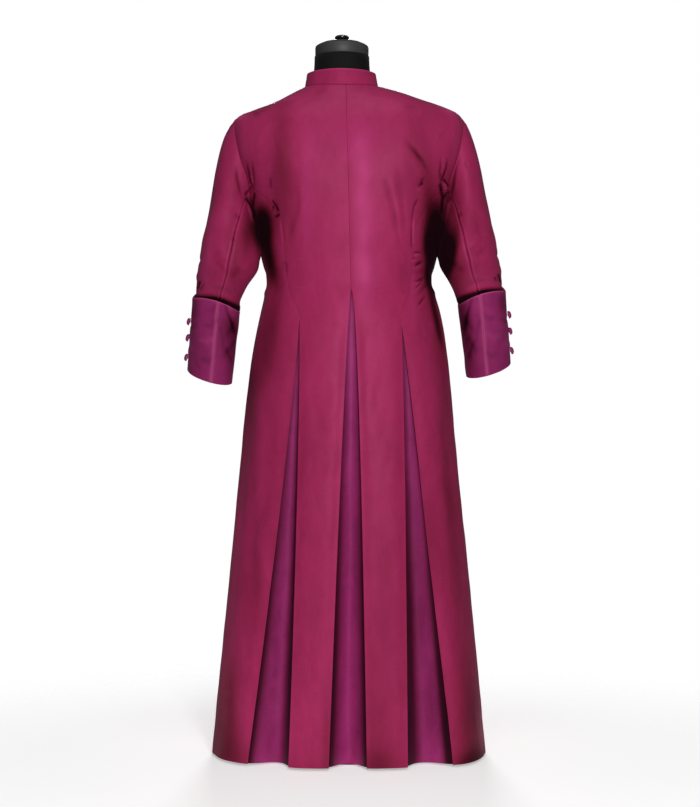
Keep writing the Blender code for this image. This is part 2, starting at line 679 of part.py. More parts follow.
def make_sleeves():
    """The two-piece sleeves of both arms."""
    stations = STATION_ROWS + sleeve_inside_cuff()
    half_gap = 0.5 * SEAM / STATION_ROWS[0].across
    for side, word in ((1, "left"), (-1, "right")):
        for piece, columns in (("top", TOP_SLEEVE_COLUMNS), ("under", UNDER_SLEEVE_COLUMNS)):
            is_top = piece == "top"
            rows = []
            for t in CAP_RINGS:
                row = []
                for j in range(columns + 1):
                    nudge = CAP_NUDGE * ((j == 0) - (j == columns))
                    row.append(cap_pair(side, is_top, j + nudge, columns, t))
                rows.append(row)
            for station in stations:
                row = []
                for j in range(columns + 1):
                    nudge = half_gap * ((j == 0) - (j == columns))
                    phi = seam_angles(station.back_seam, is_top, j, columns) + nudge
                    row.append(ring_pair(side, station, phi, CLOTH))
                rows.append(row)
            add_wall(f"sleeve_{piece}_{word}", rows, WINE)


def make_cuffs():
    """The turned-back gauntlet cuffs: an outer and an inner panel on each arm."""
    half_gap = 0.5 * SEAM / CUFF_ROWS[0].across
    for side, word in ((1, "left"), (-1, "right")):
        for piece, columns in (("outer", TOP_SLEEVE_COLUMNS), ("inner", UNDER_SLEEVE_COLUMNS)):
            rows = []
            for station in CUFF_ROWS:
                row = []
                for j in range(columns + 1):
                    nudge = half_gap * ((j == 0) - (j == columns))
                    phi = seam_angles(station.back_seam, piece == "outer", j, columns) + nudge
                    row.append(ring_pair(side, station, phi, CUFF_CLOTH))
                rows.append(row)
            add_wall(f"cuff_{piece}_{word}", rows, PURPLE)


# ================================================================ buttons
def add_button(name, seat, outward):
    """A covered button on its shank, seated a seam's gap off the cloth."""
    rings = []
    for radius, height in BUTTON_PROFILE:
        turns = [2.0 * math.pi * k / BUTTON_SIDES for k in range(BUTTON_SIDES)]
        rings.append([Vector((radius * math.cos(a), radius * math.sin(a), height))
                      for a in turns])
    button = add_stack(name, rings, BUTTON)
    turn = Vector((0.0, 0.0, 1.0)).rotation_difference(outward).to_matrix().to_4x4()
    button.matrix_world = Matrix.Translation(seat + outward * SEAM) @ turn


def cuff_seat(side, drop):
    """Where a cuff button sits, on a facet of the cuff's outer panel, and which way is out."""
    place = drop * (len(CUFF_ROWS) - 1)
    row = int(place)
    ends, sides = [], []
    for station in CUFF_ROWS[row:row + 2]:
        start = FRONT_SEAM - 360.0
        spot = (CUFF_BUTTON_ANGLE - start) / (station.back_seam - start) * TOP_SLEEVE_COLUMNS
        near, far = [ring_point(side, station,
                                seam_angles(station.back_seam, True, int(spot) + k,
                                            TOP_SLEEVE_COLUMNS)) for k in (0, 1)]
        ends.append(near.lerp(far, spot - int(spot)))
        sides.append(far - near)
    outward = (ends[1] - ends[0]).cross(sides[0] + sides[1]).normalized() * side
    return ends[0].lerp(ends[1], place - row), outward


def front_seat(level):
    """Where a front button sits: on the straight run between two levels of the left front."""
    above = next(high for high in ALL_LEVELS if high >= level)
    below = max(low for low in ALL_LEVELS if low < above)
    ends = []
    for end in (below, above):
        angle = front_angle(end, 0.0)
        ends.append(body_pair(end, angle, left_lift(end, angle))[0])
    return ends[0].lerp(ends[1], (level - below) / (above - below))


def make_buttons():
    """Three buttons on the outer edge of each cuff, and a row down the front."""
    for side, word in ((1, "left"), (-1, "right")):
        for number, drop in enumerate(CUFF_BUTTON_DROPS, 1):
            add_button(f"cuff_button_{word}_{number}", *cuff_seat(side, drop))
    low, high = FRONT_BUTTON_LEVELS
    for number in range(FRONT_BUTTONS):
        level = high + (low - high) * number / (FRONT_BUTTONS - 1)
        add_button(f"front_button_{number + 1:02d}", front_seat(level),
                   body_normal(level, front_angle(level, 0.0)))


# ================================================================ dress form
def form_point(level, angle):
    """A point of the torso: the cassock's inside less its clearance, cut at the shoulders."""
    clear = CLEARANCE_CURVE.at(level).clearance + FORM_EASE * math.sin(angle) ** 2
    point = body_point(level, angle) - body_normal(level, angle) * (CLOTH + clear)
    point.x = min(max(point.x, -FORM_SHOULDER), FORM_SHOULDER)
    return point


def make_form():
    """The limbless form with its neck, cap, knob, pole and round base."""
    turns = [2.0 * math.pi * k / FORM_SIDES for k in range(FORM_SIDES)]
    bottom = [form_point(FORM_BOTTOM, a) for a in turns]
    rings = []
    for share in (0.70, 0.90):
        drop = FORM_BOTTOM_ROUND * (1.0 - math.sqrt(1.0 - share ** 2))
        rings.append([Vector((p.x * share, p.y * share, FORM_BOTTOM - FORM_BOTTOM_ROUND + drop))
                      for p in bottom])
    levels = [level for level in ALL_LEVELS if FORM_BOTTOM <= level < NECK]
    rings += [[form_point(level, a) for a in turns] for level in levels]
    for drop, share in COLLAR_FOOT:
        feet = [body_point(NECK, a) for a in turns]
        rings.append([Vector((NECK_X + (p.x - NECK_X) * share, p.y * share, p.z - drop))
                      for p in feet])
    for ring in named_rows(NECK_RING_COLUMNS, NECK_RINGS):
        rings.append([Vector((NECK_X + ring.half_width * math.cos(a),
                              ring.half_depth * math.sin(a), ring.height)) for a in turns])
    add_stack("form_body", rings, BLACK)
    add_turned("form_cap", CAP_PROFILE, NECK_X, BAND)
    add_turned("form_knob", KNOB_PROFILE, NECK_X, GLOSS, sides=20)
    pole_top = rings[0][0].z - SEAM
    add_turned("form_pole", ((POLE_RADIUS, POLE_BOTTOM), (POLE_RADIUS, pole_top)), 0.0, METAL, 16)
    add_turned("form_base", ((BASE_RADIUS, 0.0), (BASE_RADIUS, BASE_EDGE), (0.06, 0.006),
                             (BASE_HUB, BASE_CROWN), (BASE_HUB, 0.020)), 0.0, METAL)


def clear_scene():
    """Remove whatever the scene holds."""
    for item in list(bpy.data.objects):
        bpy.data.objects.remove(item, do_unlink=True)


def main():
    """Build every piece."""
    clear_scene()
    make_backs()
    make_fronts()
    make_pleats()
    make_collar()
    make_sleeves()
    make_cuffs()
    make_buttons()
    make_form()


main()
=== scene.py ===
"""Dress a pleated cassock with gauntlet cuffs on a limbless dress form.

Units are metres and +Z is up. The wearer faces -Y and the wearer's left is +X. Every sewn
piece is a thin shell of cloth on the form of its solid, with its creases laid on one by one.
"""

import logging
import math
from dataclasses import dataclass, field, replace
from enum import Enum
from typing import Callable, Optional, Sequence

import bpy
import numpy as np
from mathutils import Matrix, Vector


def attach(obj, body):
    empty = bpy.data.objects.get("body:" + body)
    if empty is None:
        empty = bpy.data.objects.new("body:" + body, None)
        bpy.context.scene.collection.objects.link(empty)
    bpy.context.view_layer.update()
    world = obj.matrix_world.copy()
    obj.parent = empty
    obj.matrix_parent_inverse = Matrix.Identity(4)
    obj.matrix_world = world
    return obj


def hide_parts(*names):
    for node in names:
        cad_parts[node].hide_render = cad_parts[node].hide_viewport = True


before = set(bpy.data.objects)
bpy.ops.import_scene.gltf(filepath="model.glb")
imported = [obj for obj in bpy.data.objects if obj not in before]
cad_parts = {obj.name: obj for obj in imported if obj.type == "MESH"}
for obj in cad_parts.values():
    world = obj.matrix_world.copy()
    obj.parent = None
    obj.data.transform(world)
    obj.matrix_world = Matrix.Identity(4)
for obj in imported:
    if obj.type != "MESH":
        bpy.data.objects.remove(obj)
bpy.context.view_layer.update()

Array = np.ndarray
Rows = tuple[tuple[float, ...], ...]
Rgb = tuple[float, float, float]
log = logging.getLogger("cassock")

CLOTH = 0.0015          # wall of the body, skirt and sleeves
CUFF_CLOTH = 0.0024     # the cuffs are turned back, so their wall is thicker
COLLAR_CLOTH = 0.0026   # the stand collar is a stiffened band
SEAM = 0.0003           # gap between a piece and what is set on it
SEWN = 0.00004          # gap along a sewn seam
BODY = "root"


# ---------------- named options
class Side(Enum):
    """The wearer's left or right."""

    LEFT = 1
    RIGHT = -1

    @property
    def word(self) -> str:
        """The side's name as the pieces use it."""
        return self.name.lower()


class Facing(Enum):
    """The way that a stretch of cloth looks, with the two axes that its paths are drawn on."""

    BACK = (0.0, 1.0, 0.0)
    FRONT = (0.0, -1.0, 0.0)
    LEFT = (1.0, 0.0, 0.0)
    RIGHT = (-1.0, 0.0, 0.0)

    def flat(self, points: Array) -> Array:
        """Points seen from this way, as (across, height)."""
        return points[..., [0, 2]] if self.value[0] == 0.0 else points[..., [1, 2]]


class Hold(Enum):
    """How a cut piece of cloth is held."""

    HUNG = "hung"
    FOLDED = "folded"


# ---------------- plain helpers
def smooth(value: Array) -> Array:
    """A soft step from 0 to 1."""
    t = np.clip(value, 0.0, 1.0)
    return t * t * (3.0 - 2.0 * t)


def bell(distance: Array, reach: float | Array) -> Array:
    """1 at no distance, dying away evenly on either side."""
    return np.exp(-(distance / reach) ** 2)


def circle(sides: int) -> Array:
    """Even angles once round."""
    return np.linspace(0.0, 2.0 * math.pi, sides, endpoint=False)


def unit(vectors: Array) -> Array:
    """Vectors brought to length one."""
    return vectors / np.maximum(np.linalg.norm(vectors, axis=-1, keepdims=True), 1e-12)


def ripple(points: Array, wavelength: float, seed: int) -> Array:
    """A soft uneven wave over a surface, between about -1 and 1.

    Args:
        points: places on the surface.
        wavelength: usual distance between two crests.
        seed: picks one fixed pattern.

    Returns:
        The wave's height at each place.
    """
    draw = np.random.default_rng(seed)
    total = np.zeros(points.shape[:-1])
    for _ in range(7):
        way = unit(draw.normal(size=3)) * (2.0 * math.pi / wavelength) * draw.uniform(0.6, 1.5)
        total += np.sin(points @ way + draw.uniform(0.0, 2.0 * math.pi))
    return total / 3.2


class Table:
    """Columns of a table, read at any value of the first one on curves that never overshoot."""

    def __init__(self, names: Sequence[str], rows: Rows, soft: float = 0.0) -> None:
        """Keep the columns and work out a slope at each row.

        Args:
            names: the columns' names; the first is the one that the others are read at.
            rows: the table's rows, in rising order.
            soft: how far to either side a reading is averaged, away from the ends.
        """
        self.soft = soft
        data = np.array(rows, dtype=float)
        self.at = data[:, 0]
        self.columns = {name: data[:, i] for i, name in enumerate(names) if i}
        self.slopes = {name: self._slopes(column) for name, column in self.columns.items()}

    def _slopes(self, column: Array) -> Array:
        """Harmonic mean of the slopes on either side of each row.

        Args:
            column: the column's values.

        Returns:
            A slope for each row.
        """
        steps = np.diff(column) / np.diff(self.at)
        near, far = steps[:-1], steps[1:]
        same_way = near * far > 0.0
        inner = np.where(same_way, 2.0 * near * far / np.where(same_way, near + far, 1.0), 0.0)
        return np.concatenate([steps[:1], inner, steps[-1:]])

    def read(self, name: str, value: Array) -> Array:
        """Read one column.

        Args:
            name: the column's name.
            value: where to read it.

        Returns:
            The column's value there.
        """
        value = np.asarray(value, dtype=float)
        if not self.soft:
            return self._curve(name, value)
        reach = np.clip(np.minimum(value - self.at[0], self.at[-1] - value), 0.0, self.soft)
        return sum(weight * self._curve(name, value + shift * reach) for shift, weight in
                   ((-1.0, 0.1), (-0.5, 0.2), (0.0, 0.4), (0.5, 0.2), (1.0, 0.1)))

    def _curve(self, name: str, value: Array) -> Array:
        """Read one column on its curve, before any averaging.

        Args:
            name: the column's name.
            value: where to read it.

        Returns:
            The column's value there.
        """
        i = np.clip(np.searchsorted(self.at, value, side="right") - 1, 0, len(self.at) - 2)
        span = self.at[i + 1] - self.at[i]
        t = np.clip((value - self.at[i]) / span, 0.0, 1.0)
        column, slope = self.columns[name], self.slopes[name]
        return ((1 + 2 * t) * (1 - t) ** 2 * column[i] + t * t * (3 - 2 * t) * column[i + 1]
                + t * (1 - t) ** 2 * span * slope[i] + t * t * (t - 1) * span * slope[i + 1])


# ---------------- finishes
class Nodes:
    """Short hand for laying out a material's nodes."""

    def __init__(self, name: str) -> None:
        """Start a material that holds one Principled shader.

        Args:
            name: the material's name.
        """
        self.material = bpy.data.materials.new(name)
        self.material.use_nodes = True
        self.tree = self.material.node_tree
        self.shader = self.tree.nodes["Principled BSDF"]

    def add(self, kind: str, settings: Optional[dict] = None, **inputs: object) -> bpy.types.Node:
        """Add a node.

        Args:
            kind: the node's type, without its common first part.
            settings: properties to set on it.
            inputs: its sockets, by name with _ for a space; a node or a socket is linked.

        Returns:
            The node.
        """
        node = self.tree.nodes.new("ShaderNode" + kind)
        for key, value in (settings or {}).items():
            setattr(node, key, value)
        for key, value in inputs.items():
            self.put(node, key.replace("_", " "), value)
        return node

    def put(self, node: bpy.types.Node, socket: str | int, value: object) -> None:
        """Set a socket to a number or colour, or link another node to it.

        Args:
            node: the node.
            socket: the socket's name or number.
            value: what goes into it.
        """
        target = node.inputs[int(socket) if str(socket).isdigit() else socket]
        if isinstance(value, bpy.types.Node):
            self.tree.links.new(value.outputs[0], target)
        elif isinstance(value, bpy.types.NodeSocket):
            self.tree.links.new(value, target)
        else:
            target.default_value = value

    def math(self, operation: str, first: object, second: object) -> bpy.types.Node:
        """A sum, product or other step of arithmetic on two values."""
        return self.add("Math", {"operation": operation}, **{"0": first, "1": second})

    def shade(self, **inputs: object) -> None:
        """Set or link the shader's own sockets, by name with _ for a space."""
        for key, value in inputs.items():
            self.put(self.shader, key.replace("_", " "), value)

    def ramp(self, value: object, stops: Sequence[tuple[float, Rgb]]) -> bpy.types.Node:
        """Add a colour ramp.

        Args:
            value: what the ramp is read at.
            stops: (place, colour) pairs in rising order.

        Returns:
            The ramp's node.
        """
        node = self.add("ValToRGB", Fac=value)
        elements = node.color_ramp.elements
        while len(elements) < len(stops):
            elements.new(0.5)
        for element, (place, colour) in zip(elements, stops):
            element.position, element.color = place, (*colour, 1.0)
        return node


class Finish:
    """A finish that becomes a material the first time it is asked for."""

    name: str

    def lay(self, nodes: Nodes) -> None:
        """Lay out the material's nodes."""
        raise NotImplementedError

    def material(self) -> bpy.types.Material:
        """The finish as a material.

        Returns:
            The material, made once.
        """
        found = bpy.data.materials.get(self.name)
        if found:
            return found
        nodes = Nodes(self.name)
        self.lay(nodes)
        return nodes.material


@dataclass(frozen=True)
class ClothFinish(Finish):
    """A woven cloth: its colours, thread, creasing and sheen."""

    name: str
    slot: str
    light: Rgb                     # colour where the nap lies towards the light
    deep: Rgb                      # colour where it lies away
    roughness: float = 0.55
    sheen: float = 0.06
    sheen_tint: Rgb = (1.0, 0.30, 0.60)
    specular: float = 0.50
    gloss_tint: Rgb = (1.0, 0.30, 0.55)   # silk throws back light of its own colour
    thread: float = 0.0007         # width of a thread
    weave: float = 0.25            # depth of the weave's bump
    crush: float = 0.15            # depth of the fine creasing's bump
    grain: float = 1.0             # how much longer than wide the soft patches are
    rubbed: Rgb = (0.52, 0.060, 0.190)   # colour of the painted highlight on folds, cords and rims

    def lay(self, nodes: Nodes) -> None:
        """Lay out the cloth's colour with its painted shade and painted highlight, its roughness
        and bump.

        Args:
            nodes: the material's nodes.
        """
        place = nodes.add("TexCoord")
        uv = place.outputs["UV"]
        body = nodes.add("Mapping", Vector=place.outputs["Object"],
                         Scale=(1.0, 1.0, 1.0 / self.grain))
        threads = nodes.add("Mapping", Vector=uv, Scale=(0.5 / self.thread,) * 2 + (1.0,))
        warp, weft = (nodes.add("TexWave", {"bands_direction": way}, Vector=threads,
                                Scale=0.1591, Distortion=0.6, Detail=1.0) for way in "XY")
        patches = nodes.add("TexNoise", Vector=body, Scale=11.0, Detail=4.0, Roughness=0.55,
                            Distortion=0.4)
        slubs = nodes.add("TexNoise", Scale=1.0, Detail=2.0, Vector=nodes.add(
            "Mapping", Vector=uv, Scale=(24.0, 900.0, 1.0)))
        flecks = nodes.add("TexNoise", Vector=body, Scale=48.0, Detail=3.0, Roughness=0.6,
                           Distortion=0.9)
        mottle = nodes.math("ADD", nodes.math("MULTIPLY", patches, 0.55), nodes.math(
            "ADD", nodes.math("MULTIPLY", flecks, 0.27), nodes.math("MULTIPLY", slubs, 0.18)))
        colour = nodes.ramp(mottle, ((0.36, self.deep), (0.63, self.light)))
        # painted highlight and painted shade, read from attributes of the cloth's points
        rubbed, painted_shade = (nodes.add("Attribute", {"attribute_name": tone}).outputs["Fac"]
                          for tone in ("rubbed", "painted_shade"))
        # painted highlight: a lighter colour is mixed in
        colour = nodes.add("MixRGB", Color1=colour, Fac=rubbed, Color2=(*self.rubbed, 1.0))
        # painted shade: the colour is darkened towards near black where the shade attribute is
        # high
        shade = nodes.ramp(painted_shade, ((0.0, (1.0, 1.0, 1.0)), (0.35, (0.60, 0.53, 0.49)),
                                    (0.70, (0.20, 0.10, 0.10)), (1.0, (0.012, 0.003, 0.003))))
        creasing = nodes.add("TexNoise", Vector=body, Scale=38.0, Detail=5.0, Roughness=0.6,
                             Distortion=1.2)
        rough = nodes.add("MapRange", Value=creasing, To_Min=self.roughness - 0.06,
                          To_Max=self.roughness + 0.08)
        soft = nodes.add("Bump", Strength=self.crush, Distance=0.002, Height=creasing)
        nodes.shade(
            Base_Color=nodes.add("MixRGB", {"blend_type": "MULTIPLY"}, Color1=colour, Fac=1.0,
                                 Color2=shade),
            Roughness=nodes.math("ADD", rough, nodes.math("MULTIPLY", painted_shade, 0.45)),
            Normal=nodes.add("Bump", Strength=self.weave, Distance=0.0002,
                             Height=nodes.math("MULTIPLY", warp, weft), Normal=soft),
            Sheen_Weight=self.sheen, Sheen_Roughness=0.4, Sheen_Tint=(*self.sheen_tint, 1.0),
            Specular_IOR_Level=self.specular, Specular_Tint=(*self.gloss_tint, 1.0))


@dataclass(frozen=True)
class HardFinish(Finish):
    """A smooth or lightly grained finish of the dress form."""

    name: str
    slot: str
    colour: Rgb
    worn: Rgb
    roughness: float
    metallic: float = 0.0
    coat: float = 0.0
    grain_scale: float = 300.0
    grain: float = 0.1

    def lay(self, nodes: Nodes) -> None:
        """Lay out the colour, the wear and the fine grain.

        Args:
            nodes: the material's nodes.
        """
        place = nodes.add("TexCoord").outputs["Object"]
        patches = nodes.add("TexNoise", Vector=place, Scale=9.0, Detail=4.0)
        fine = nodes.add("TexNoise", Vector=place, Scale=self.grain_scale, Detail=3.0)
        nodes.shade(
            Base_Color=nodes.ramp(patches, ((0.35, self.colour), (0.75, self.worn))),
            Roughness=nodes.add("MapRange", Value=patches, To_Min=self.roughness,
                                To_Max=self.roughness + 0.15),
            Normal=nodes.add("Bump", Strength=self.grain, Distance=0.0005, Height=fine),
            Metallic=self.metallic, Coat_Weight=self.coat)


WINE = ClothFinish("wine_taffeta", "wine_cloth", light=(0.438, 0.028, 0.122),
                   deep=(0.322, 0.019, 0.080), roughness=0.44, specular=0.26, sheen=0.03,
                   grain=2.2, rubbed=(0.600, 0.052, 0.225))
PURPLE = ClothFinish("purple_taffeta", "purple_cloth", light=(0.375, 0.030, 0.166),
                     deep=(0.235, 0.018, 0.098), roughness=0.44, sheen=0.05, specular=0.32,
                     gloss_tint=(0.95, 0.32, 0.70), grain=2.0,
                     rubbed=(0.560, 0.085, 0.250))
BUTTON_SATIN = ClothFinish("button_satin", "button_cloth", light=(0.400, 0.035, 0.200),
                           deep=(0.260, 0.020, 0.120), roughness=0.24,
                           gloss_tint=(1.0, 0.45, 0.85), thread=0.0004, crush=0.1)
THREAD = ClothFinish("silk_thread", "wine_cloth", light=(0.330, 0.024, 0.110),
                     deep=(0.210, 0.014, 0.065), roughness=0.4, thread=0.0003, weave=0.1)
PURPLE_THREAD = ClothFinish("purple_thread", "purple_cloth", light=(0.300, 0.030, 0.170),
                            deep=(0.170, 0.015, 0.095), roughness=0.4, thread=0.0003,
                            weave=0.1)
JERSEY = ClothFinish("black_jersey", "form_cloth", light=(0.0065, 0.0065, 0.0070),
                     deep=(0.0040, 0.0040, 0.0045), roughness=0.75, sheen=0.03,
                     sheen_tint=(1.0, 1.0, 1.0), gloss_tint=(1.0, 1.0, 1.0), specular=0.17,
                     thread=0.0009, crush=0.05)
CAP_GREY = HardFinish("cap_grey", "form_band", (0.034, 0.037, 0.034), (0.060, 0.063, 0.060),
                      roughness=0.45, grain=0.2)
LACQUER = HardFinish("black_lacquer", "form_gloss", (0.004, 0.004, 0.004),
                     (0.010, 0.010, 0.010), roughness=0.12, coat=0.6, grain=0.02)
BLACK_STEEL = HardFinish("black_steel", "form_metal", (0.020, 0.020, 0.021),
                         (0.045, 0.045, 0.047), roughness=0.35, metallic=0.6,
                         grain_scale=600.0, grain=0.15)


@dataclass(frozen=True)
class FloorFinish(Finish):
    """A pale matt floor that fades out towards its rim."""

    name: str = "pale_floor"
    shade: float = 0.94
    glow: float = 0.42               # the studio's white bounced back by the paper
    plain: float = 0.50              # radius at which it begins to fade
    gone: float = 1.30

    def lay(self, nodes: Nodes) -> None:
        """Lay out a faint mottle, and the fade at the rim.

        Args:
            nodes: the material's nodes.
        """
        place = nodes.add("TexCoord").outputs["Object"]
        dust = nodes.add("TexNoise", Vector=place, Scale=60.0, Detail=3.0)
        far = nodes.add("VectorMath", {"operation": "LENGTH"}, Vector=place)
        nodes.shade(
            Base_Color=nodes.ramp(dust, ((0.3, (self.shade - 0.02,) * 3),
                                         (0.7, (self.shade,) * 3))),
            Alpha=nodes.add("MapRange", {"interpolation_type": "SMOOTHSTEP"},
                            Value=far.outputs["Value"], From_Min=self.plain,
                            From_Max=self.gone, To_Min=1.0, To_Max=0.0),
            Roughness=0.85, Emission_Color=(1.0, 1.0, 1.0, 1.0), Emission_Strength=self.glow)


# ---------------- mesh building
def grid_normals(surface: Array, outward: Array) -> Array:
    """Unit normals of a grid of points.

    Args:
        surface: the grid, rows by columns by three.
        outward: a vector for each point that says which side is out.

    Returns:
        The normals, on the outward side.
    """
    down, across = np.gradient(surface, axis=0), np.gradient(surface, axis=1)
    normals = unit(np.cross(across, down))
    flip = np.sign(np.sum(normals * outward))
    return normals * (flip if flip else 1.0)


def ease_rows(surface: Array, row: int, reach: int, times: int) -> Array:
    """Smooth away a break between two stretches of a grid.

    Args:
        surface: the grid, rows by columns by three.
        row: the row at the break.
        reach: how many rows to either side may move.
        times: how often the rows are averaged with their neighbours.

    Returns:
        The grid, smooth across the break.
    """
    eased = surface.copy()
    rows = np.arange(row - reach, row + reach)
    weight = (1.0 - np.abs((rows - row + 0.5) / reach)) ** 0.5
    for _ in range(times):
        mean = 0.5 * eased[rows] + 0.25 * (eased[rows - 1] + eased[rows + 1])
        eased[rows] += weight[:, None, None] * (mean - eased[rows])
    return eased


def new_object(name: str, points: Array, faces: Sequence[Sequence[int]],
               uv: Optional[Array], finish: Finish) -> bpy.types.Object:
    """Make a smooth-shaded object from points and faces.

    Args:
        name: the piece's name.
        points: its points.
        faces: its faces, as indices of points.
        uv: a place on the flat cloth for each point, in metres, or None.
        finish: what it is covered in.

    Returns:
        The object, in the scene.
    """
    mesh = bpy.data.meshes.new(name)
    mesh.from_pydata(points.tolist(), [], [list(map(int, face)) for face in faces])
    if uv is not None:
        layer = mesh.uv_layers.new(name="cut")
        corners = np.empty(len(mesh.loops), dtype=np.int32)
        mesh.loops.foreach_get("vertex_index", corners)
        layer.data.foreach_set("uv", uv[corners].astype(np.float32).ravel())
    mesh.shade_smooth()
    made = bpy.data.objects.new(name, mesh)
    made.data.materials.append(finish.material())
    bpy.context.scene.collection.objects.link(made)
    return made


def grid_faces(index: Array, wraps: bool = False) -> Array:
    """Four-sided faces over a grid of points.

    Args:
        index: the points' numbers, rows by columns.
        wraps: whether the last column joins the first.

    Returns:
        The faces, four numbers each.
    """
    if wraps:
        index = np.concatenate([index, index[:, :1]], axis=1)
    return np.stack([index[:-1, :-1], index[:-1, 1:], index[1:, 1:], index[1:, :-1]],
                    axis=-1).reshape(-1, 4)


def closed_faces(rows: int, columns: int) -> list[list[int]]:
    """Faces of a stack of rings of points that is closed at both ends."""
    index = np.arange(rows * columns).reshape(rows, columns)
    return [*map(list, grid_faces(index, wraps=True)), list(index[0][::-1]), list(index[-1])]


def two_tones(tone: Array) -> dict[str, Array]:
    """Split a painted tone into painted shade above 0 and a painted highlight below it."""
    return {"painted_shade": tone, "rubbed": -tone}


def declare(piece: bpy.types.Object, finish: Finish, *nodes: str) -> None:
    """Tell the frame what a piece rides on and stands for.

    Args:
        piece: the piece.
        finish: not used.
        nodes: the solids that it stands for.
    """
    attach(piece, BODY)
    if nodes:
        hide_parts(*nodes)
    log.info("%s: %d faces", piece.name, len(piece.data.polygons))


@dataclass(frozen=True)
class Cut:
    """The flat cut of a sewn piece: width and length of its blank, and its own area."""

    width: float
    length: float
    area: float
    hold: Hold = Hold.HUNG
    rests_on: tuple[str, ...] = ("form_body",)

    def declare(self, piece: bpy.types.Object) -> None:
        """Make a list of what the cut rests on, and nothing more."""
        list(self.rests_on)


@dataclass
class ClothSheet:
    """A cut piece: a grid of points on its outer side, with their places on the flat cloth."""

    node: str                        # the solid that it stands for
    surface: Array
    outward: Array
    across: Array                    # places across the flat cloth, and along it
    along: Array
    # painted shade and painted highlight, kept as attributes of the points
    tones: dict[str, Array] = field(default_factory=dict)
    thickness: float = CLOTH
    edge_round: float = 0.55         # share of half the thickness that the edges round over

    def __post_init__(self) -> None:
        """Spread the places over the whole grid."""
        zero = np.zeros(self.surface.shape[:2])
        self.across, self.along = self.across + zero, self.along + zero

    def at(self, across: Array, along: Array) -> tuple[Array, Array]:
        """Find places on the outer side by their place on the flat cloth.

        Args:
            across: how far across the cut each place lies.
            along: how far along it.

        Returns:
            The places, and the way the cloth faces at each.
        """
        grids = np.concatenate([self.surface, grid_normals(self.surface, self.outward)], axis=-1)
        rows = self.along[:, 0]
        found = []
        for a, u in np.broadcast(across, along):
            row = int(np.clip(np.searchsorted(rows, u) - 1, 0, len(rows) - 2))
            share = (u - rows[row]) / (rows[row + 1] - rows[row])
            low, high = (np.array([np.interp(a, self.across[r], grids[r, :, k])
                                   for k in range(6)]) for r in (row, row + 1))
            found.append(low + (high - low) * share)
        found = np.array(found)
        return found[:, :3], unit(found[:, 3:])

    def build(self, name: str, finish: Finish) -> bpy.types.Object:
        """Close the sheet into a thin shell with rounded edges.

        Args:
            name: the piece's name.
            finish: what it is cut from.

        Returns:
            The piece.
        """
        half = 0.5 * self.thickness
        swell = half
        for distance in (np.minimum(self.across, self.across[:, -1:] - self.across),
                         np.minimum(self.along - self.along[:1], self.along[-1:] - self.along)):
            share = 1.0 - np.clip(distance / (self.edge_round * half), 0.0, 1.0)
            swell = swell * np.sqrt(np.clip(1.0 - share ** 2, 0.0, 1.0))
        normals = grid_normals(self.surface, self.outward)
        middle, swell = self.surface - normals * half, normals * swell[..., None]
        rows, columns = self.surface.shape[:2]
        top = np.arange(rows * columns).reshape(rows, columns)
        under = top.copy()
        under[1:-1, 1:-1] = top.size + np.arange((rows - 2) * (columns - 2)).reshape(
            rows - 2, columns - 2)

        def both(outer: Array, inner: Array) -> Array:
            """Values of the outer side's points, then of the lining's own."""
            wide = outer.shape[2:]
            return np.concatenate([outer.reshape(-1, *wide),
                                   inner[1:-1, 1:-1].reshape(-1, *wide)])

        points = both(middle + swell, middle - swell)
        faces, lining = grid_faces(top), grid_faces(under)[:, ::-1]
        a, b, c = (points[faces[:, k]] for k in (0, 1, 2))
        if np.sum(np.cross(b - a, c - a) * normals[:-1, :-1].reshape(-1, 3)) < 0.0:
            faces, lining = faces[:, ::-1], lining[:, ::-1]
        uv = np.stack([self.across, self.along], axis=-1)
        made = new_object(name, points, np.concatenate([faces, lining]), both(uv, uv), finish)
        for tone, grid in self.tones.items():
            layer = made.data.attributes.new(tone, "FLOAT", "POINT")
            layer.data.foreach_set("value", np.clip(both(grid, grid), 0.0, 1.0).astype(
                np.float32))
        return made

    def dress(self, finish: Finish, cut: Cut, form: str = "cloth") -> None:
        """Args:
            finish: what it is cut from.
            cut: its flat cut.
            form: the last word of the piece's name.
        """
        piece = self.build(f"{self.node}_{form}", finish)
        declare(piece, finish, self.node)
        cut.declare(piece)


def edge_steps(width: float, count: int, half: float, crowd: float = 1.0) -> Array:
    """Distances across a strip, close together at both edges.

    Args:
        width: the strip's width.
        count: how many even steps lie between the edges' close ones.
        half: half the cloth's thickness, which the edges are rounded over.
        crowd: above 1, the steps grow shorter towards the far edge, and below -1 towards
            the near one.

    Returns:
        The distances, from 0 to the width.
    """
    lead = np.array([0.0, 0.134, 0.5, 1.0, 2.6, 6.0]) * half
    lead *= min(1.0, width / (5.0 * lead[-1]))
    share = np.linspace(0.0, 1.0, count + 1)
    share = 1.0 - (1.0 - share) ** crowd if crowd > 0.0 else share ** -crowd
    middle = lead[-1] + (width - 2.0 * lead[-1]) * share
    return np.concatenate([lead[:-1], middle, width - lead[-2::-1]])


def ring_stack(name: str, rings: Sequence[Array], finish: Finish) -> bpy.types.Object:
    """Close a solid from rings of points, one above the other.

    Args:
        name: the piece's name.
        rings: the rings, each with as many points, running anticlockwise seen from above.
        finish: what it is covered in.

    Returns:
        The piece.
    """
    points = np.array(rings)
    rows, columns = points.shape[:2]
    girth = np.linspace(0.0, 1.0, columns)[None, :].repeat(rows, axis=0)
    uv = np.stack([girth, points[..., 2]], axis=-1).reshape(-1, 2)
    return new_object(name, points.reshape(-1, 3), closed_faces(rows, columns), uv, finish)


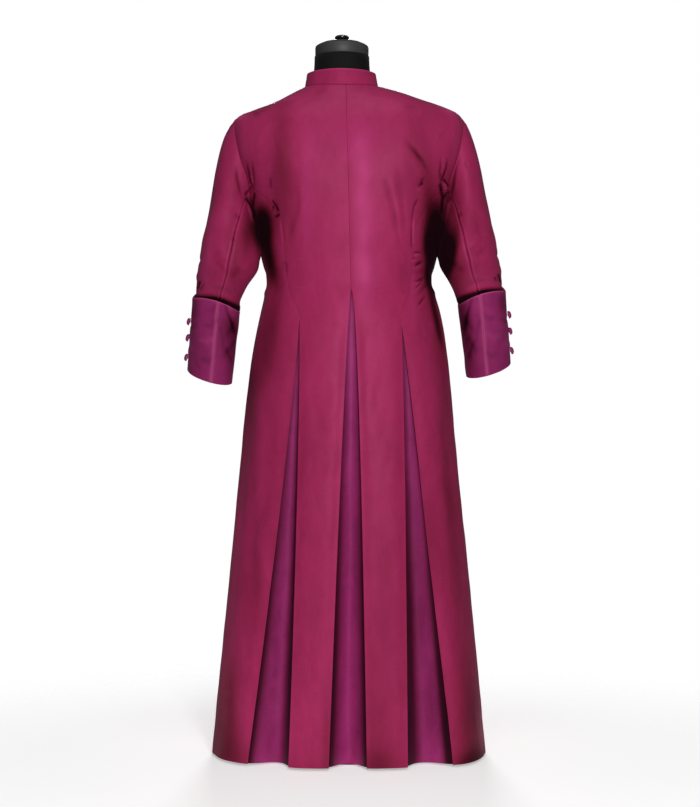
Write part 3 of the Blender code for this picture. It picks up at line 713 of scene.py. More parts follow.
def turned(name: str, profile: Array, finish: Finish, centre: tuple[float, float] = (0.0, 0.0),
           sides: int = 72) -> bpy.types.Object:
    """Turn a profile of (radius, height) pairs round an upright axis.

    Args:
        name: the piece's name.
        profile: the pairs, from the foot up.
        finish: what it is covered in.
        centre: where the axis stands.
        sides: how many sides a ring has.

    Returns:
        The piece.
    """
    turns = circle(sides)
    rings = [np.stack([centre[0] + radius * np.cos(turns), centre[1] + radius * np.sin(turns),
                       np.full(sides, height)], axis=-1) for radius, height in profile]
    return ring_stack(name, rings, finish)


def rounded(profile: Sequence[tuple[float, float]], radius: float, steps: int = 4) -> Array:
    """Round the corners of a profile.

    Args:
        profile: (radius, height) pairs.
        radius: how far from a corner its rounding starts.
        steps: how many steps the rounding has.

    Returns:
        The profile with each inner corner replaced by a short curve.
    """
    points = np.array(profile, dtype=float)
    made = [points[0]]
    for before, corner, after in zip(points, points[1:], points[2:]):
        reach = min(radius, 0.45 * np.linalg.norm(before - corner),
                    0.45 * np.linalg.norm(after - corner))
        start, end = corner + unit(before - corner) * reach, corner + unit(after - corner) * reach
        for t in np.linspace(0.0, 1.0, steps + 1):
            made.append(start * (1 - t) ** 2 + corner * 2 * t * (1 - t) + end * t * t)
    return np.array(made + [points[-1]])


# ---------------- creases
@dataclass(frozen=True)
class Crease:
    """A soft ridge, or a trough where its height is negative, along a path on the cloth."""

    path: Rows
    height: float
    width: float
    facing: Facing = Facing.BACK
    crisp: float = 2.0           # 2 is soft; towards 1 the crest is sharper
    lean: float = 0.0            # towards 1 or -1 one flank is steeper than the other
    fade: float = 0.3            # share of the length over which each end dies away
    dark: float = 0.0            # how much shade is painted in its bottom; below 0, how much highlight is painted on its crest

    def beside(self, spots: Array) -> tuple[Array, Array]:
        """Where places lie along the path, and how far off it.

        Args:
            spots: the places, as (across, height).

        Returns:
            The share of the path that each is beside, and its distance, below 0 on the right.
        """
        path = np.array(self.path)
        lengths = np.linalg.norm(np.diff(path, axis=0), axis=1)
        starts = np.concatenate([[0.0], np.cumsum(lengths)])
        best = np.full(len(spots), np.inf)
        along, across = np.zeros(len(spots)), np.zeros(len(spots))
        for first, second, length, start in zip(path, path[1:], lengths, starts):
            way = (second - first) / length
            offset = spots - first
            run = np.clip(offset @ way, 0.0, length)
            distance = np.linalg.norm(offset - run[:, None] * way, axis=1)
            closer = distance < best
            best = np.where(closer, distance, best)
            along = np.where(closer, (start + run) / starts[-1], along)
            sign = np.sign(way[0] * offset[:, 1] - way[1] * offset[:, 0])
            across = np.where(closer, sign * distance, across)
        return along, across

    def press(self, points: Array, normals: Array) -> tuple[Array, Array]:
        """How far the crease moves each point of the cloth outwards, and the shade or highlight
        painted there.

        Args:
            points: the cloth's points.
            normals: its outward normals.

        Returns:
            The moves, and the painted tone: painted shade above 0, painted highlight below.
        """
        flat, path, reach = self.facing.flat(points), np.array(self.path), 3.0 * self.width
        near = np.all((flat > path.min(axis=0) - reach) & (flat < path.max(axis=0) + reach),
                      axis=-1)
        moved, shade = np.zeros(points.shape[:-1]), np.zeros(points.shape[:-1])
        if not near.any():
            return moved, shade
        spots = flat[near]
        along, across = self.beside(spots)
        across = across + 0.15 * self.width * np.sin(spots[:, 1] * 61.0 + spots[:, 0] * 23.0)
        width = self.width * (1.0 + 0.7 * self.lean * np.sign(across))
        shape = np.exp(-(np.abs(across) / width) ** self.crisp)
        ends = smooth(along / self.fade) * smooth((1.0 - along) / self.fade)
        uneven = 1.0 + 0.15 * np.sin(spots[:, 1] * 97.0 + 7.0 * self.height / self.width)
        faces = smooth((normals[near] @ np.array(self.facing.value)) / 0.35)
        moved[near] = self.height * shape * ends * uneven * faces
        shade[near] = self.dark * shape * ends * uneven * faces
        return moved, shade


def pressed(creases: Sequence[Crease], points: Array, normals: Array) -> tuple[Array, Array]:
    """The sum of what creases do to a surface: their moves outwards, and the shade and highlight
    painted along them.
    """
    moved, dark = np.sum([crease.press(points, normals) for crease in creases], axis=0)
    return moved, dark


def fold(height: float, width: float, *places: float, crisp: float = 2.0, lean: float = 0.0,
         fade: float = 0.3, dark: float = 0.0) -> Crease:
    """A crease on the back, in millimetres.

    Args:
        height: how high it stands; below 0, how deep it lies.
        width: how wide it is.
        places: its path, as x and height of one place after another.
        crisp: how sharp its crest is.
        lean: which flank is steeper.
        fade: how soon its ends die away.
        dark: how much shade is painted in its bottom; below 0, how much highlight on its crest.

    Returns:
        The crease.
    """
    path = tuple((x / 1000.0, z / 1000.0) for x, z in zip(places[::2], places[1::2]))
    return Crease(path, height / 1000.0, width / 1000.0, Facing.BACK, crisp, lean, fade, dark)


def line(width: float, dark: float, *places: float, fade: float = 0.25) -> Crease:
    """A thin, sharply nipped crease on the back, in millimetres, with shade painted along it."""
    return fold(-1.4, width, *places, crisp=1.6, fade=fade, dark=dark)


def nip(width: float, dark: float, *places: float) -> tuple[Crease, Crease]:
    """A line that tapers at both ends, and a bulge of cloth 4 mm below it with a painted
    highlight.
    """
    below = (place - 4.0 * (i % 2) for i, place in enumerate(places))
    return (line(width, dark, *places, fade=0.45),
            fold(1.5, 1.3 * width, *below, fade=0.45, dark=-0.32))


def seen_from(facing: Facing, *creases: Crease) -> tuple[Crease, ...]:
    """The same creases on another side."""
    return tuple(replace(crease, facing=facing) for crease in creases)


# ---------------- worn shape
@dataclass(frozen=True)
class Pleat:
    """One inverted pleat: where its two folded edges run, and how deep its underlay hangs."""

    name: str
    top: float
    top_x: float
    left_x: float
    left_bend: float
    right_x: float
    right_bend: float
    depth: float
    shades: tuple[float, float]      # how far the shade at each side reaches near the hem

    def edge(self, side: Side, level: Array, hem: float) -> Array:
        """Where one of the pleat's edges runs.

        Args:
            side: which edge.
            level: the height.
            hem: the hem's height.

        Returns:
            The edge's x there.
        """
        hem_x, bend = ((self.left_x, self.left_bend) if side is Side.LEFT
                       else (self.right_x, self.right_bend))
        share = np.clip((self.top - level) / (self.top - hem), 0.0, 1.0)
        return self.top_x + (hem_x - self.top_x) * share ** bend


@dataclass
class WornShape:
    """The form that the body of the cassock hangs in, by sections from hem to neck."""

    columns: tuple[str, ...] = ("level", "back_z", "front_z", "half_width", "back", "front",
                                "round", "centre_x")
    rows: Rows = (
        (0.006, 0.006, 0.006, 0.2785, 0.182, 0.186, 2.35, 0.000),    # hem
        (0.067, 0.067, 0.067, 0.2727, 0.179, 0.182, 2.35, 0.000),
        (0.231, 0.231, 0.231, 0.2570, 0.171, 0.172, 2.35, 0.000),    # shin
        (0.395, 0.395, 0.395, 0.2410, 0.162, 0.161, 2.35, 0.000),    # knee
        (0.559, 0.559, 0.559, 0.2255, 0.153, 0.150, 2.35, 0.000),    # thigh
        (0.723, 0.723, 0.723, 0.2100, 0.143, 0.139, 2.35, -0.001),   # seat
        (0.834, 0.834, 0.834, 0.1965, 0.134, 0.129, 2.30, -0.002),   # hip
        (0.899, 0.899, 0.899, 0.1845, 0.125, 0.120, 2.25, -0.003),
        (0.932, 0.932, 0.932, 0.1760, 0.118, 0.114, 2.25, -0.002),
        (0.965, 0.965, 0.965, 0.1675, 0.111, 0.109, 2.25, 0.000),    # waist
        (0.998, 0.998, 0.998, 0.1760, 0.111, 0.111, 2.30, 0.000),
        (1.060, 1.060, 1.060, 0.1895, 0.115, 0.118, 2.40, 0.000),    # ribs
        (1.127, 1.127, 1.127, 0.2000, 0.119, 0.124, 2.50, 0.000),    # underarm
        (1.160, 1.157, 1.154, 0.2080, 0.120, 0.124, 2.70, 0.000),
        (1.218, 1.207, 1.195, 0.2310, 0.118, 0.121, 3.00, 0.000),    # middle of the armhole
        (1.275, 1.256, 1.238, 0.2385, 0.111, 0.112, 2.80, 0.000),
        (1.3095, 1.287, 1.264, 0.2275, 0.103, 0.103, 2.50, 0.000),   # shoulder point
        (1.3295, 1.312, 1.286, 0.1755, 0.092, 0.095, 2.35, -0.002),
        (1.3485, 1.337, 1.309, 0.1190, 0.078, 0.085, 2.20, 0.002),
        (1.3630, 1.3585, 1.331, 0.0755, 0.064, 0.075, 2.05, 0.0155),  # neck seam
    )
    flutes: Rows = (                       # angle, top, reach and half width in degrees
        (-152.0, 0.80, 0.010, 13.0),
        (-116.0, 0.62, 0.008, 11.0),
        (-66.0, 0.70, 0.009, 12.0),
        (-28.0, 0.84, 0.011, 13.0),
        (150.0, 0.55, 0.013, 12.0),
    )
    hem: float = 0.006
    underarm: float = 1.127
    shoulder: float = 1.3095
    neck: float = 1.363
    armhole_back: float = 0.056
    armhole_front: float = 0.060
    princess_top: float = 1.1539
    centre_seam: Rows = ((0.942, -0.004), (1.363, 0.006))
    princess: Rows = ((0.887, 0.0985), (0.910, 0.1080), (0.942, 0.1210), (0.998, 0.1290),
                      (1.060, 0.1330), (1.094, 0.1460), (1.127, 0.1690), (1.1539, 0.2018))
    side_seam: Rows = ((0.006, 9.0), (0.80, 0.0))
    pleats: tuple[Pleat, ...] = (
        Pleat("centre", 0.942, -0.0040, 0.0395, 0.82, -0.0350, 0.50, 0.056, (0.013, 0.010)),
        Pleat("left", 0.887, 0.0985, 0.2020, 1.15, 0.1195, 1.6, 0.047, (0.015, 0.011)),
        Pleat("right", 0.887, -0.1010, -0.1160, 0.35, -0.1970, 0.82, 0.047, (0.023, 0.010)),
    )
    shoulder_drop: tuple[float, float] = (0.0080, 0.0030)   # left and right shoulder tips
    lap: float = 0.016
    lap_ease: float = 0.022
    lap_height: float = 0.0027
    table: Table = field(init=False)
    princess_line: Table = field(init=False)

    def __post_init__(self) -> None:
        """Read the tables once."""
        self.table = Table(self.columns, self.rows, soft=0.020)
        self.princess_line = Table(("level", "x"), self.princess)

    def read(self, name: str, level: Array) -> Array:
        """One column of the sections at a level."""
        return self.table.read(name, level)

    def half(self, behind: Array, level: Array, column: str = "") -> Array:
        """A column of the back or of the front half: its depth, or with "_z" its height."""
        return np.where(behind, self.read("back" + column, level),
                        self.read("front" + column, level))

    def left_over(self, share: Array, level: Array) -> Array:
        """Share of one half axis that a section has left at a share of the other."""
        power = self.read("round", level)
        return (1.0 - share ** power) ** (1.0 / power)

    def flute(self, level: Array, angle: Array) -> Array:
        """How far the skirt's soft flutes stand out.

        Args:
            level: height on the body.
            angle: angle round it, in radians.

        Returns:
            The distance.
        """
        out = np.zeros(np.broadcast(level, angle).shape)
        for at, top, reach, spread in self.flutes:
            turn = (np.degrees(angle) - at + 180.0) % 360.0 - 180.0
            out = out + reach * smooth((top - level) / (top - self.hem)) * bell(turn, spread)
        return out

    def point(self, level: Array, angle: Array) -> Array:
        """A place on the worn shape; the angle runs round from the wearer's left.

        Args:
            level: height of the section at the wearer's sides.
            angle: angle round the body, in radians.

        Returns:
            The point or points.
        """
        level, angle = np.broadcast_arrays(np.asarray(level, float), np.asarray(angle, float))
        c, n = np.cos(angle), np.sin(angle)
        power = self.read("round", level)
        radius = ((np.abs(c) / self.read("half_width", level)) ** power
                  + (np.abs(n) / self.half(n >= 0.0, level)) ** power) ** (-1.0 / power)
        radius = radius + self.flute(level, angle)
        x = self.read("centre_x", level) + radius * c
        z = level + (self.half(n >= 0.0, level, "_z") - level) * n * n
        out = np.abs(x)
        tip = smooth((out - 0.10) / 0.06) * smooth((0.245 - out) / 0.05)
        z = z - tip * smooth((z - 1.22) / 0.08) * np.where(x > 0.0, *self.shoulder_drop)
        return np.stack([x, radius * n, z], axis=-1)

    def normal(self, level: Array, angle: Array) -> Array:
        """Outward unit normals of the worn shape.

        Args:
            level: height of the section.
            angle: angle round the body, in radians.

        Returns:
            The normals.
        """
        step = 0.0005
        low, high = np.maximum(level - step, self.hem), np.minimum(level + step, self.neck)
        up = self.point(high, angle) - self.point(low, angle)
        round_ = self.point(level, angle + step) - self.point(level, angle - step)
        return unit(np.cross(round_, up))

    def angle_at(self, level: Array, x: Array, back: bool, from_middle: bool = False) -> Array:
        """Angle of the place of the back or front that lies at x.

        Args:
            level: the section's height.
            x: the place across.
            back: whether it lies on the back.
            from_middle: whether x is counted from the body's own middle.

        Returns:
            The angle, in radians.
        """
        across = x - (0.0 if from_middle else self.read("centre_x", level))
        share = np.clip(np.abs(across) / self.read("half_width", level), 0.0, 1.0)
        y = self.half(back, level) * self.left_over(share, level)
        return np.arctan2(y if back else -y, across)

    def mirrored(self, side: Side, angle: Array) -> Array:
        """An angle of the wearer's left as it is on the given side."""
        return angle if side is Side.LEFT else math.pi - angle

    def armhole_level(self, phi: Array) -> Array:
        """Level at an angle round the armhole: 0 at the shoulder, 180 degrees underneath."""
        return self.underarm + (self.shoulder - self.underarm) * 0.5 * (1.0 + np.cos(phi))

    def armhole_angle(self, side: Side, phi: Array, inset: float = 0.0) -> Array:
        """Angle round the body of the armhole's edge.

        Args:
            side: which armhole.
            phi: angle round the armhole; its back is between 0 and 180 degrees.
            inset: share by which the line runs inside the armhole.

        Returns:
            The angle, in radians.
        """
        level = self.armhole_level(phi)
        behind = np.sin(phi) >= 0.0
        bow = np.abs(np.sin(phi)) ** 1.3
        reach = np.where(behind, self.armhole_back, self.armhole_front) * bow * (1.0 - inset)
        x = (self.read("half_width", level)
             * self.left_over(reach / self.half(behind, level), level))
        return self.mirrored(side, np.arctan2(np.where(behind, reach, -reach), x))

    def armhole_edge(self, side: Side, level: Array, behind: bool) -> Array:
        """Angle round the body of the armhole's edge at a level.

        Args:
            side: which armhole.
            level: the height.
            behind: whether it is the edge on the back.

        Returns:
            The angle, in radians.
        """
        share = (level - self.underarm) / (self.shoulder - self.underarm)
        phi = np.arccos(np.clip(2.0 * share - 1.0, -1.0, 1.0))
        return self.armhole_angle(side, phi if behind else -phi)

    def pleat(self, name: str) -> Pleat:
        """The pleat of that name."""
        return next(pleat for pleat in self.pleats if pleat.name == name)

    def centre_edge(self, side: Side, level: Array) -> Array:
        """Inner edge of a back panel: the centre seam, and the centre pleat below it.

        Args:
            side: which side of the wearer.
            level: the height.

        Returns:
            The angle round the body, in radians.
        """
        pleat = self.pleat("centre")
        seam_x = np.interp(level, *np.array(self.centre_seam).T)
        x = np.where(level < pleat.top, pleat.edge(side, level, self.hem), seam_x)
        return self.angle_at(level, x, back=True)

    def princess_edge(self, side: Side, level: Array) -> Array:
        """The princess seam of the back."""
        x = self.princess_line.read("x", level) * side.value
        return self.angle_at(level, x, back=True, from_middle=True)

    def side_pleat_edge(self, side: Side, level: Array, panel: Side) -> Array:
        """One edge of the side pleat, or the princess seam above it.

        Args:
            side: which side of the wearer.
            level: the height.
            panel: which of the pleat's two edges.

        Returns:
            The angle round the body, in radians.
        """
        pleat = self.pleat(side.word)
        x = pleat.edge(panel, level, self.hem)
        return np.where(level < pleat.top, self.angle_at(level, x, back=True),
                        self.princess_edge(side, level))

    def outer_edge(self, side: Side, level: Array, behind: bool, top: float,
                   seam: Array) -> Array:
        """Outer edge of a panel: a seam up to its top, the armhole, the shoulder seam."""
        edge = np.where(level > top, self.armhole_edge(side, level, behind), seam)
        return np.where(level > self.shoulder, self.mirrored(side, 0.0), edge)

    def back_outer(self, side: Side, level: Array) -> Array:
        """Outer edge of a back panel, up the side pleat and the princess seam."""
        seam = self.side_pleat_edge(side, level, Side(-side.value))
        return self.outer_edge(side, level, True, self.princess_top, seam)

    def side_back_inner(self, side: Side, level: Array) -> Array:
        """Inner edge of a side-back panel: side pleat, then princess seam."""
        return self.side_pleat_edge(side, level, side)

    def side_line(self, side: Side, level: Array) -> Array:
        """The side seam, which drifts to the back towards the hem."""
        return self.mirrored(side, np.radians(np.interp(level, *np.array(self.side_seam).T)))

    def side_back_outer(self, side: Side, level: Array) -> Array:
        """Outer edge of a side-back panel, up the side seam."""
        return self.outer_edge(side, level, True, self.underarm, self.side_line(side, level))

    def front_outer(self, side: Side, level: Array) -> Array:
        """Outer edge of a front, up the side seam."""
        edge = self.outer_edge(side, level, False, self.underarm, self.side_line(side, level))
        return edge if side is Side.LEFT else edge - 2.0 * math.pi

    def front_inner(self, side: Side, level: Array) -> Array:
        """The fronts' lapped edges: each passes the middle, the left one on top."""
        return self.angle_at(level, -self.lap * side.value, back=False, from_middle=True)

    def left_lift(self, level: Array, angle: Array) -> Array:
        """How far the left front stands off, where it laps over the right one."""
        across = self.point(level, angle)[..., 0] - self.read("centre_x", level)
        return self.lap_height * smooth((self.lap + self.lap_ease - across) / self.lap_ease)


# ---------------- panels of the body
Edge = Callable[[Side, Array], Array]

# in the creases below and in those of the sleeves and cuffs, dark paints shade into a trough, and
# below 0 paints a highlight on a crest
ARMPIT_DRAGS = (
    # left arm: two drags cross in a lozenge beside the armhole, with a nip down the sleeve
    fold(-2.2, 4.2, 227, 1200, 225, 1172, 219, 1150, 213, 1124, fade=0.35, dark=0.34),
    line(2.1, 0.72, 208, 1208, 204, 1187, 201, 1173, 196, 1155, 190, 1141.6, fade=0.3),
    line(1.8, 0.5, 195, 1208, 193, 1183, 191, 1160, 190, 1141.6, fade=0.35),
    line(2.6, 1.1, 189, 1144.6, 192.5, 1130, 196, 1112, fade=0.3),
    line(2, 0.8, 200, 1156, 205, 1147, 210, 1137, fade=0.1),
    line(2.6, 1.1, 210, 1138, 205, 1128, 200, 1120, 194, 1105, 192, 1084, fade=0.2),
    fold(1.2, 2.2, 196, 1162, 203, 1153, 209, 1145, dark=-0.45),
    fold(1.6, 3.6, 202, 1146, 198.5, 1134, 196.5, 1126, dark=-0.5),
    fold(1.2, 2.4, 198, 1178, 196, 1168, 193, 1156, dark=-0.35),
    fold(1.2, 3, 206, 1124, 199, 1100, 194, 1078, dark=-0.25),
    # right arm
    fold(-2.2, 3.4, -222, 1222, -217, 1200, -212, 1174, -207, 1145, -203, 1118, crisp=1.6,
         fade=0.35, dark=0.5),
    line(2, 0.5, -186, 1215, -182, 1180, -184.8, 1153, fade=0.35),
    line(2.7, 1.1, -183, 1160, -186, 1144, -190, 1128, fade=0.25),
    line(2.1, 0.72, -198, 1212, -195, 1187, -186, 1162, -184, 1150, fade=0.35),
    line(2, 0.9, -190, 1167, -196, 1160, -203, 1155, fade=0.1),
    line(2.1, 0.9, -204, 1150, -196, 1138, -189, 1128, fade=0.3),
    line(2.8, 1.1, -189, 1136, -188.5, 1118, -188, 1098, fade=0.3),
    fold(1.6, 3.6, -192.5, 1162, -195, 1151, -193, 1140, dark=-0.5),
    fold(1, 2.6, -188, 1210, -190, 1185, dark=-0.25),
)

BACK_CREASES = (
    # sharp drags of the back beside the princess seams
    line(2, 0.5, 157, 1170, 156, 1142),
    line(2.4, 0.65, 156, 1126, 146, 1111, 140, 1096),
    line(2.4, 0.6, 149, 1088, 137, 1094),
    line(4, 0.5, 155, 1108, 149, 1107),
    fold(0.6, 1.6, 139, 1094, 134, 1054, 131, 1026, dark=-0.35),
    line(2.6, 0.28, 137, 999, 126, 995, 126, 974),
    line(4.4, 0.42, -104, 1250, -130, 1216, -147, 1195, -160, 1172, fade=0.45),
    line(2.2, 0.15, -143, 1198, -152, 1187, -160, 1172, fade=0.4),
    line(3, 0.36, -153, 1170, -146, 1160, -141, 1140, fade=0.4),
    *nip(2.2, 0.45, -150, 1158, -142, 1150, -137, 1140),
    fold(-1.6, 6, -96, 1200, -104, 1120, -112, 1040, dark=0.14),
    fold(-1.4, 5, -86, 1150, -94, 1090, -106, 1010, dark=0.12),
    line(1.8, 0.42, -140, 1128, -130, 1111, -125.8, 1088, -125.2, 1020, fade=0.12),
    fold(0.7, 2.2, -129, 1090, -129.6, 1024, dark=-0.4),
    # puckers that run off the right princess seam down to the waist
    *nip(2.2, 0.65, -125, 1012, -134, 1018, -148, 1019),
    *nip(1.8, 0.6, -124, 1002, -130, 1007, -137, 1008),
    *nip(3, 1.05, -127, 987, -136, 994, -150, 1003),
    fold(-1.8, 5, -124, 981, -138, 979, -154, 984, dark=0.22),
    *nip(2.6, 0.62, -127, 962, -138, 962, -154, 972),
    *nip(2, 0.85, -130, 942, -139, 953, -150, 968),
    *nip(2.4, 0.85, -134, 906, -143, 918, -156, 936),
    fold(-1.2, 4, -132, 930, -146, 944, -158, 960, dark=0.15),
    # shallow dents with painted shade where the shoulder's cloth is drawn to the sleeve
    fold(-0.8, 6, 178, 1304, 196, 1296, dark=0.3),
    fold(-0.6, 5, 160, 1312, 176, 1308, dark=0.25),
    fold(-0.6, 6, -104, 1314, -120, 1308, -134, 1302, dark=0.12),
    # long soft folds of the skirt beside the outer pleats
    fold(-2.2, 14, 193, 800, 194, 577, 192, 440, 184, 345, 176, 215, lean=0.4, dark=0.1),
    fold(1.8, 16, 176, 780, 176, 560, 172, 400, 162, 260),
    fold(-2, 13, -184, 780, -192, 660, -200, 540, -206, 420, lean=-0.4, dark=0.1),
    fold(1.6, 14, -168, 770, -176, 640, -184, 500),
    # dents over the seat and hips
    fold(-2.2, 12, 160, 920, 172, 850, 176, 760),
    fold(-1.4, 12, 70, 790, 80, 740, 76, 690),
    fold(-1.2, 10, 72, 620, 78, 560),
    fold(-1.6, 9, 100, 250, 106, 215),
    fold(-1.6, 9, 98, 115, 110, 85),
    fold(-1.4, 8, 236, 140, 250, 118),
    fold(-1.2, 12, -50, 760, -62, 700),
    fold(-1.8, 12, -160, 860, -172, 800),
    # long ridge right of the centre seam, with a painted highlight along it
    fold(1, 18, -22, 1290, -28, 1100, -30, 880, fade=0.2, dark=-0.5),
    fold(-2, 9, 112, 1290, 113, 1180, 108, 1080),
    # pulls from the princess seams down to the waist
    fold(-1.8, 6, 108, 1160, 110, 1090, 116, 1020, lean=0.4),
    fold(1.2, 8, 98, 1160, 100, 1080),
    fold(-2, 5, -70, 1170, -84, 1118, -94, 1050, lean=-0.4, dark=0.18),
    fold(1.4, 7, -82, 1165, -94, 1110, -104, 1030, dark=-0.12),
    fold(-1.6, 5.5, 93.5, 1136, 110, 1071, 121.6, 1028, dark=0.16),
    # deep hollow beside the left shoulder blade
    fold(-3, 10, 158, 1230, 156, 1140, 146, 1060, lean=0.4),
    fold(1.6, 12, 138, 1250, 140, 1160, 132, 1090),
    # drags under the right arm
    fold(1.2, 6, -122, 1205, -138, 1184, -150, 1160),
    # faint drags where the waist nips in on the left
    fold(-1.4, 5, 126, 996, 138, 988, 152, 984),
    fold(-1.6, 5, 128, 960, 142, 950, 158, 948),
    fold(-1.4, 5, 130, 938, 150, 922),
    # bump on the left shoulder line
    fold(-1, 8, 80, 1325, 110, 1308, 135, 1298),
    fold(-0.8, 6, -60, 1324, -85, 1314, -110, 1306),
)

# soft patches of painted shade seen from behind: x, height, half width and half height in
# millimetres, depth, and drift of x with height; a depth below 0 is a painted highlight
PAINTED_BACK_TONES: Rows = (
    (174.5, 1075, 20.5, 39, 1.25, 0.05),    # under the left arm
    (176, 1062, 40, 50, 0.25, 0),
    (160, 1003, 14.5, 48, 0.95, 0.2),       # and down that side to the waist
    (-179, 1042, 24.5, 78, 1.6, 0.05),      # under the right arm
    (-197, 998, 13.5, 56, 0.75, -0.25),
    (-157, 1035, 9, 30, 0.55, 0),
    (-169, 965, 7, 30, 0.7, 0.1),
    (-161, 975, 10, 26, 0.7, 0),
    (-176.5, 885, 7, 60, 0.8, 0.22),        # down the right hip's edge
    (131, 1190, 22, 120, 0.42, 0.04),       # beside the left shoulder blade
    (0, 1245, 130, 60, -0.18, 0),           # painted highlight over the blades themselves
    (82, 1130, 22, 140, -0.25, 0),
    (-158, 1150, 12, 60, 0.22, 0),
    (-160, 1270, 30, 80, 0.12, 0),
    (-132, 1205, 26, 110, 0.24, 0),         # beside the right shoulder blade
    (148, 870, 12, 100, 0.12, -0.1),
    (176, 800, 28, 120, 0.32, -0.2),        # left hip
    (-188, 790, 20, 120, 0.2, 0.2),         # right hip
    (226, 640, 14, 130, 0.28, -0.15),       # edges of the skirt
    (-160, 480, 16, 110, 0.18, 0.1),
    (-196, 560, 16, 120, 0.16, 0.15),
    (-225, 320, 30, 220, 0.26, 0.1),
    (-100, 300, 80, 420, 0.09, 0),
    (70, 300, 30, 420, 0.06, 0),
    (-240, 1080, 40, 120, 0.1, -0.2),       # down the right sleeve
    (272, 60, 34, 150, 0.55, 0),
    (233, 120, 14, 80, 0.28, 0),
    (225, 20, 30, 50, 0.35, 0),
    (-246, 70, 40, 130, 0.5, 0),
    (-250, 0, 60, 30, 0.42, 0),
    (80, 0, 200, 30, 0.12, 0),
    (-55, 110, 36, 200, 0.2, 0),
    (-56, 10, 50, 40, 0.25, 0),
    (42, 70, 12, 100, 0.22, 0),
    (231, 1020, 14, 80, 0.24, 0.05),        # inner half of the left sleeve
    (276, 1020, 18, 80, -0.25, -0.3),       # its outer half, with a painted highlight
    (234, 1165, 10, 60, 0.16, 0),
    (206, 1055, 11, 50, 0.3, 0),
    (212, 1210, 7, 80, -0.16, -0.06),       # painted highlight along the armhole's seam
    (-212, 1225, 7, 70, -0.14, 0.06),
    (-215, 1130, 14, 60, 0.13, 0),
    (-215, 1070, 14, 70, 0.2, -0.1),        # inner half of the right sleeve
    (-228, 990, 14, 40, 0.22, -0.3),
    (-128, 930, 10, 90, -0.2, 0),
    (222, 1299, 13, 10, -0.95, 0),          # painted highlights on the crowns of the sleeves
    (-207, 1312, 14, 10, -0.95, 0),
    (148, 1333, 30, 8, -0.8, 0),            # painted highlight on the rim of the left shoulder
    (322, 905, 12, 40, 0.25, 0),            # cuffs: painted shade on the outer rims and the inner sides, and two small painted highlights
    (244, 905, 12, 22, -0.25, 0),
    (229, 830, 18, 75, 0.6, 0.25),
    (232, 782, 12, 30, 0.4, 0),
    (-318, 915, 14, 40, 0.22, 0),
    (-252, 925, 10, 20, -0.2, 0),
    (-236, 860, 16, 80, 0.55, 0.15),
)


def back_tones(points: Array) -> Array:
    """How much shade is painted on the cloth seen from behind; below 0, how much highlight.

    Args:
        points: the cloth's points.

    Returns:
        The tone at each.
    """
    x, y, z = np.moveaxis(1000.0 * points, -1, 0)
    tone = np.zeros(x.shape)
    for middle, height, wide, tall, depth, drift in PAINTED_BACK_TONES:
        up = z - height
        tone += depth * bell(x - middle - drift * up, wide) * np.exp(-np.abs(up / tall) ** 2.4)
    # the painted tones fade out towards the front of the body
    return tone * smooth((y + 40.0) / 50.0)


FRONT_CREASES = seen_from(
    Facing.FRONT,
    # long folds of the skirt's front, falling from the hips
    fold(-4, 18, 130, 800, 150, 500, 172, 60),
    fold(-4, 18, -128, 780, -150, 480, -176, 60),
    fold(-3.2, 16, 70, 660, 80, 360, 92, 30),
    fold(-3.2, 16, -66, 640, -80, 340, -94, 30),
    fold(3, 16, 100, 620, 114, 300, 126, 40),
    fold(3, 16, -98, 600, -114, 300, -130, 40),
    # pulls at the waist and under the chest
    fold(-1.6, 6, 60, 985, 110, 968, 150, 972),
    fold(-1.6, 6, -60, 978, -112, 962, -150, 968),
    fold(1.8, 8, 50, 950, 100, 930, 145, 925),
    fold(1.8, 8, -48, 945, -100, 925, -145, 922),
    fold(-1.6, 7, 165, 1180, 130, 1130, 90, 1060),
    fold(-1.6, 7, -165, 1180, -130, 1128, -92, 1060),
    fold(1.6, 8, 172, 1150, 150, 1110, 120, 1050),
    fold(1.6, 8, -172, 1150, -150, 1108, -122, 1050),
    fold(-1.2, 8, 85, 1300, 110, 1265, 140, 1240),
    fold(-1.2, 8, -85, 1300, -110, 1262, -142, 1240),
)

SIDE_CREASES = seen_from(
    Facing.LEFT,
    fold(-3.4, 19, 40, 860, 60, 560, 85, 200),
    fold(-3.4, 19, -50, 860, -75, 520, -100, 120),
    fold(-2, 5, -80, 990, -20, 978, 60, 990),
    fold(2.2, 7, -80, 950, -20, 940, 60, 948),
) + seen_from(
    Facing.RIGHT,
    fold(-3.4, 19, 40, 860, 62, 560, 90, 180),
    fold(-3.4, 19, -50, 860, -72, 520, -98, 120),
    fold(-2, 5, -80, 988, -20, 975, 60, 986),
    fold(2.2, 7, -80, 952, -20, 940, 60, 950),
)


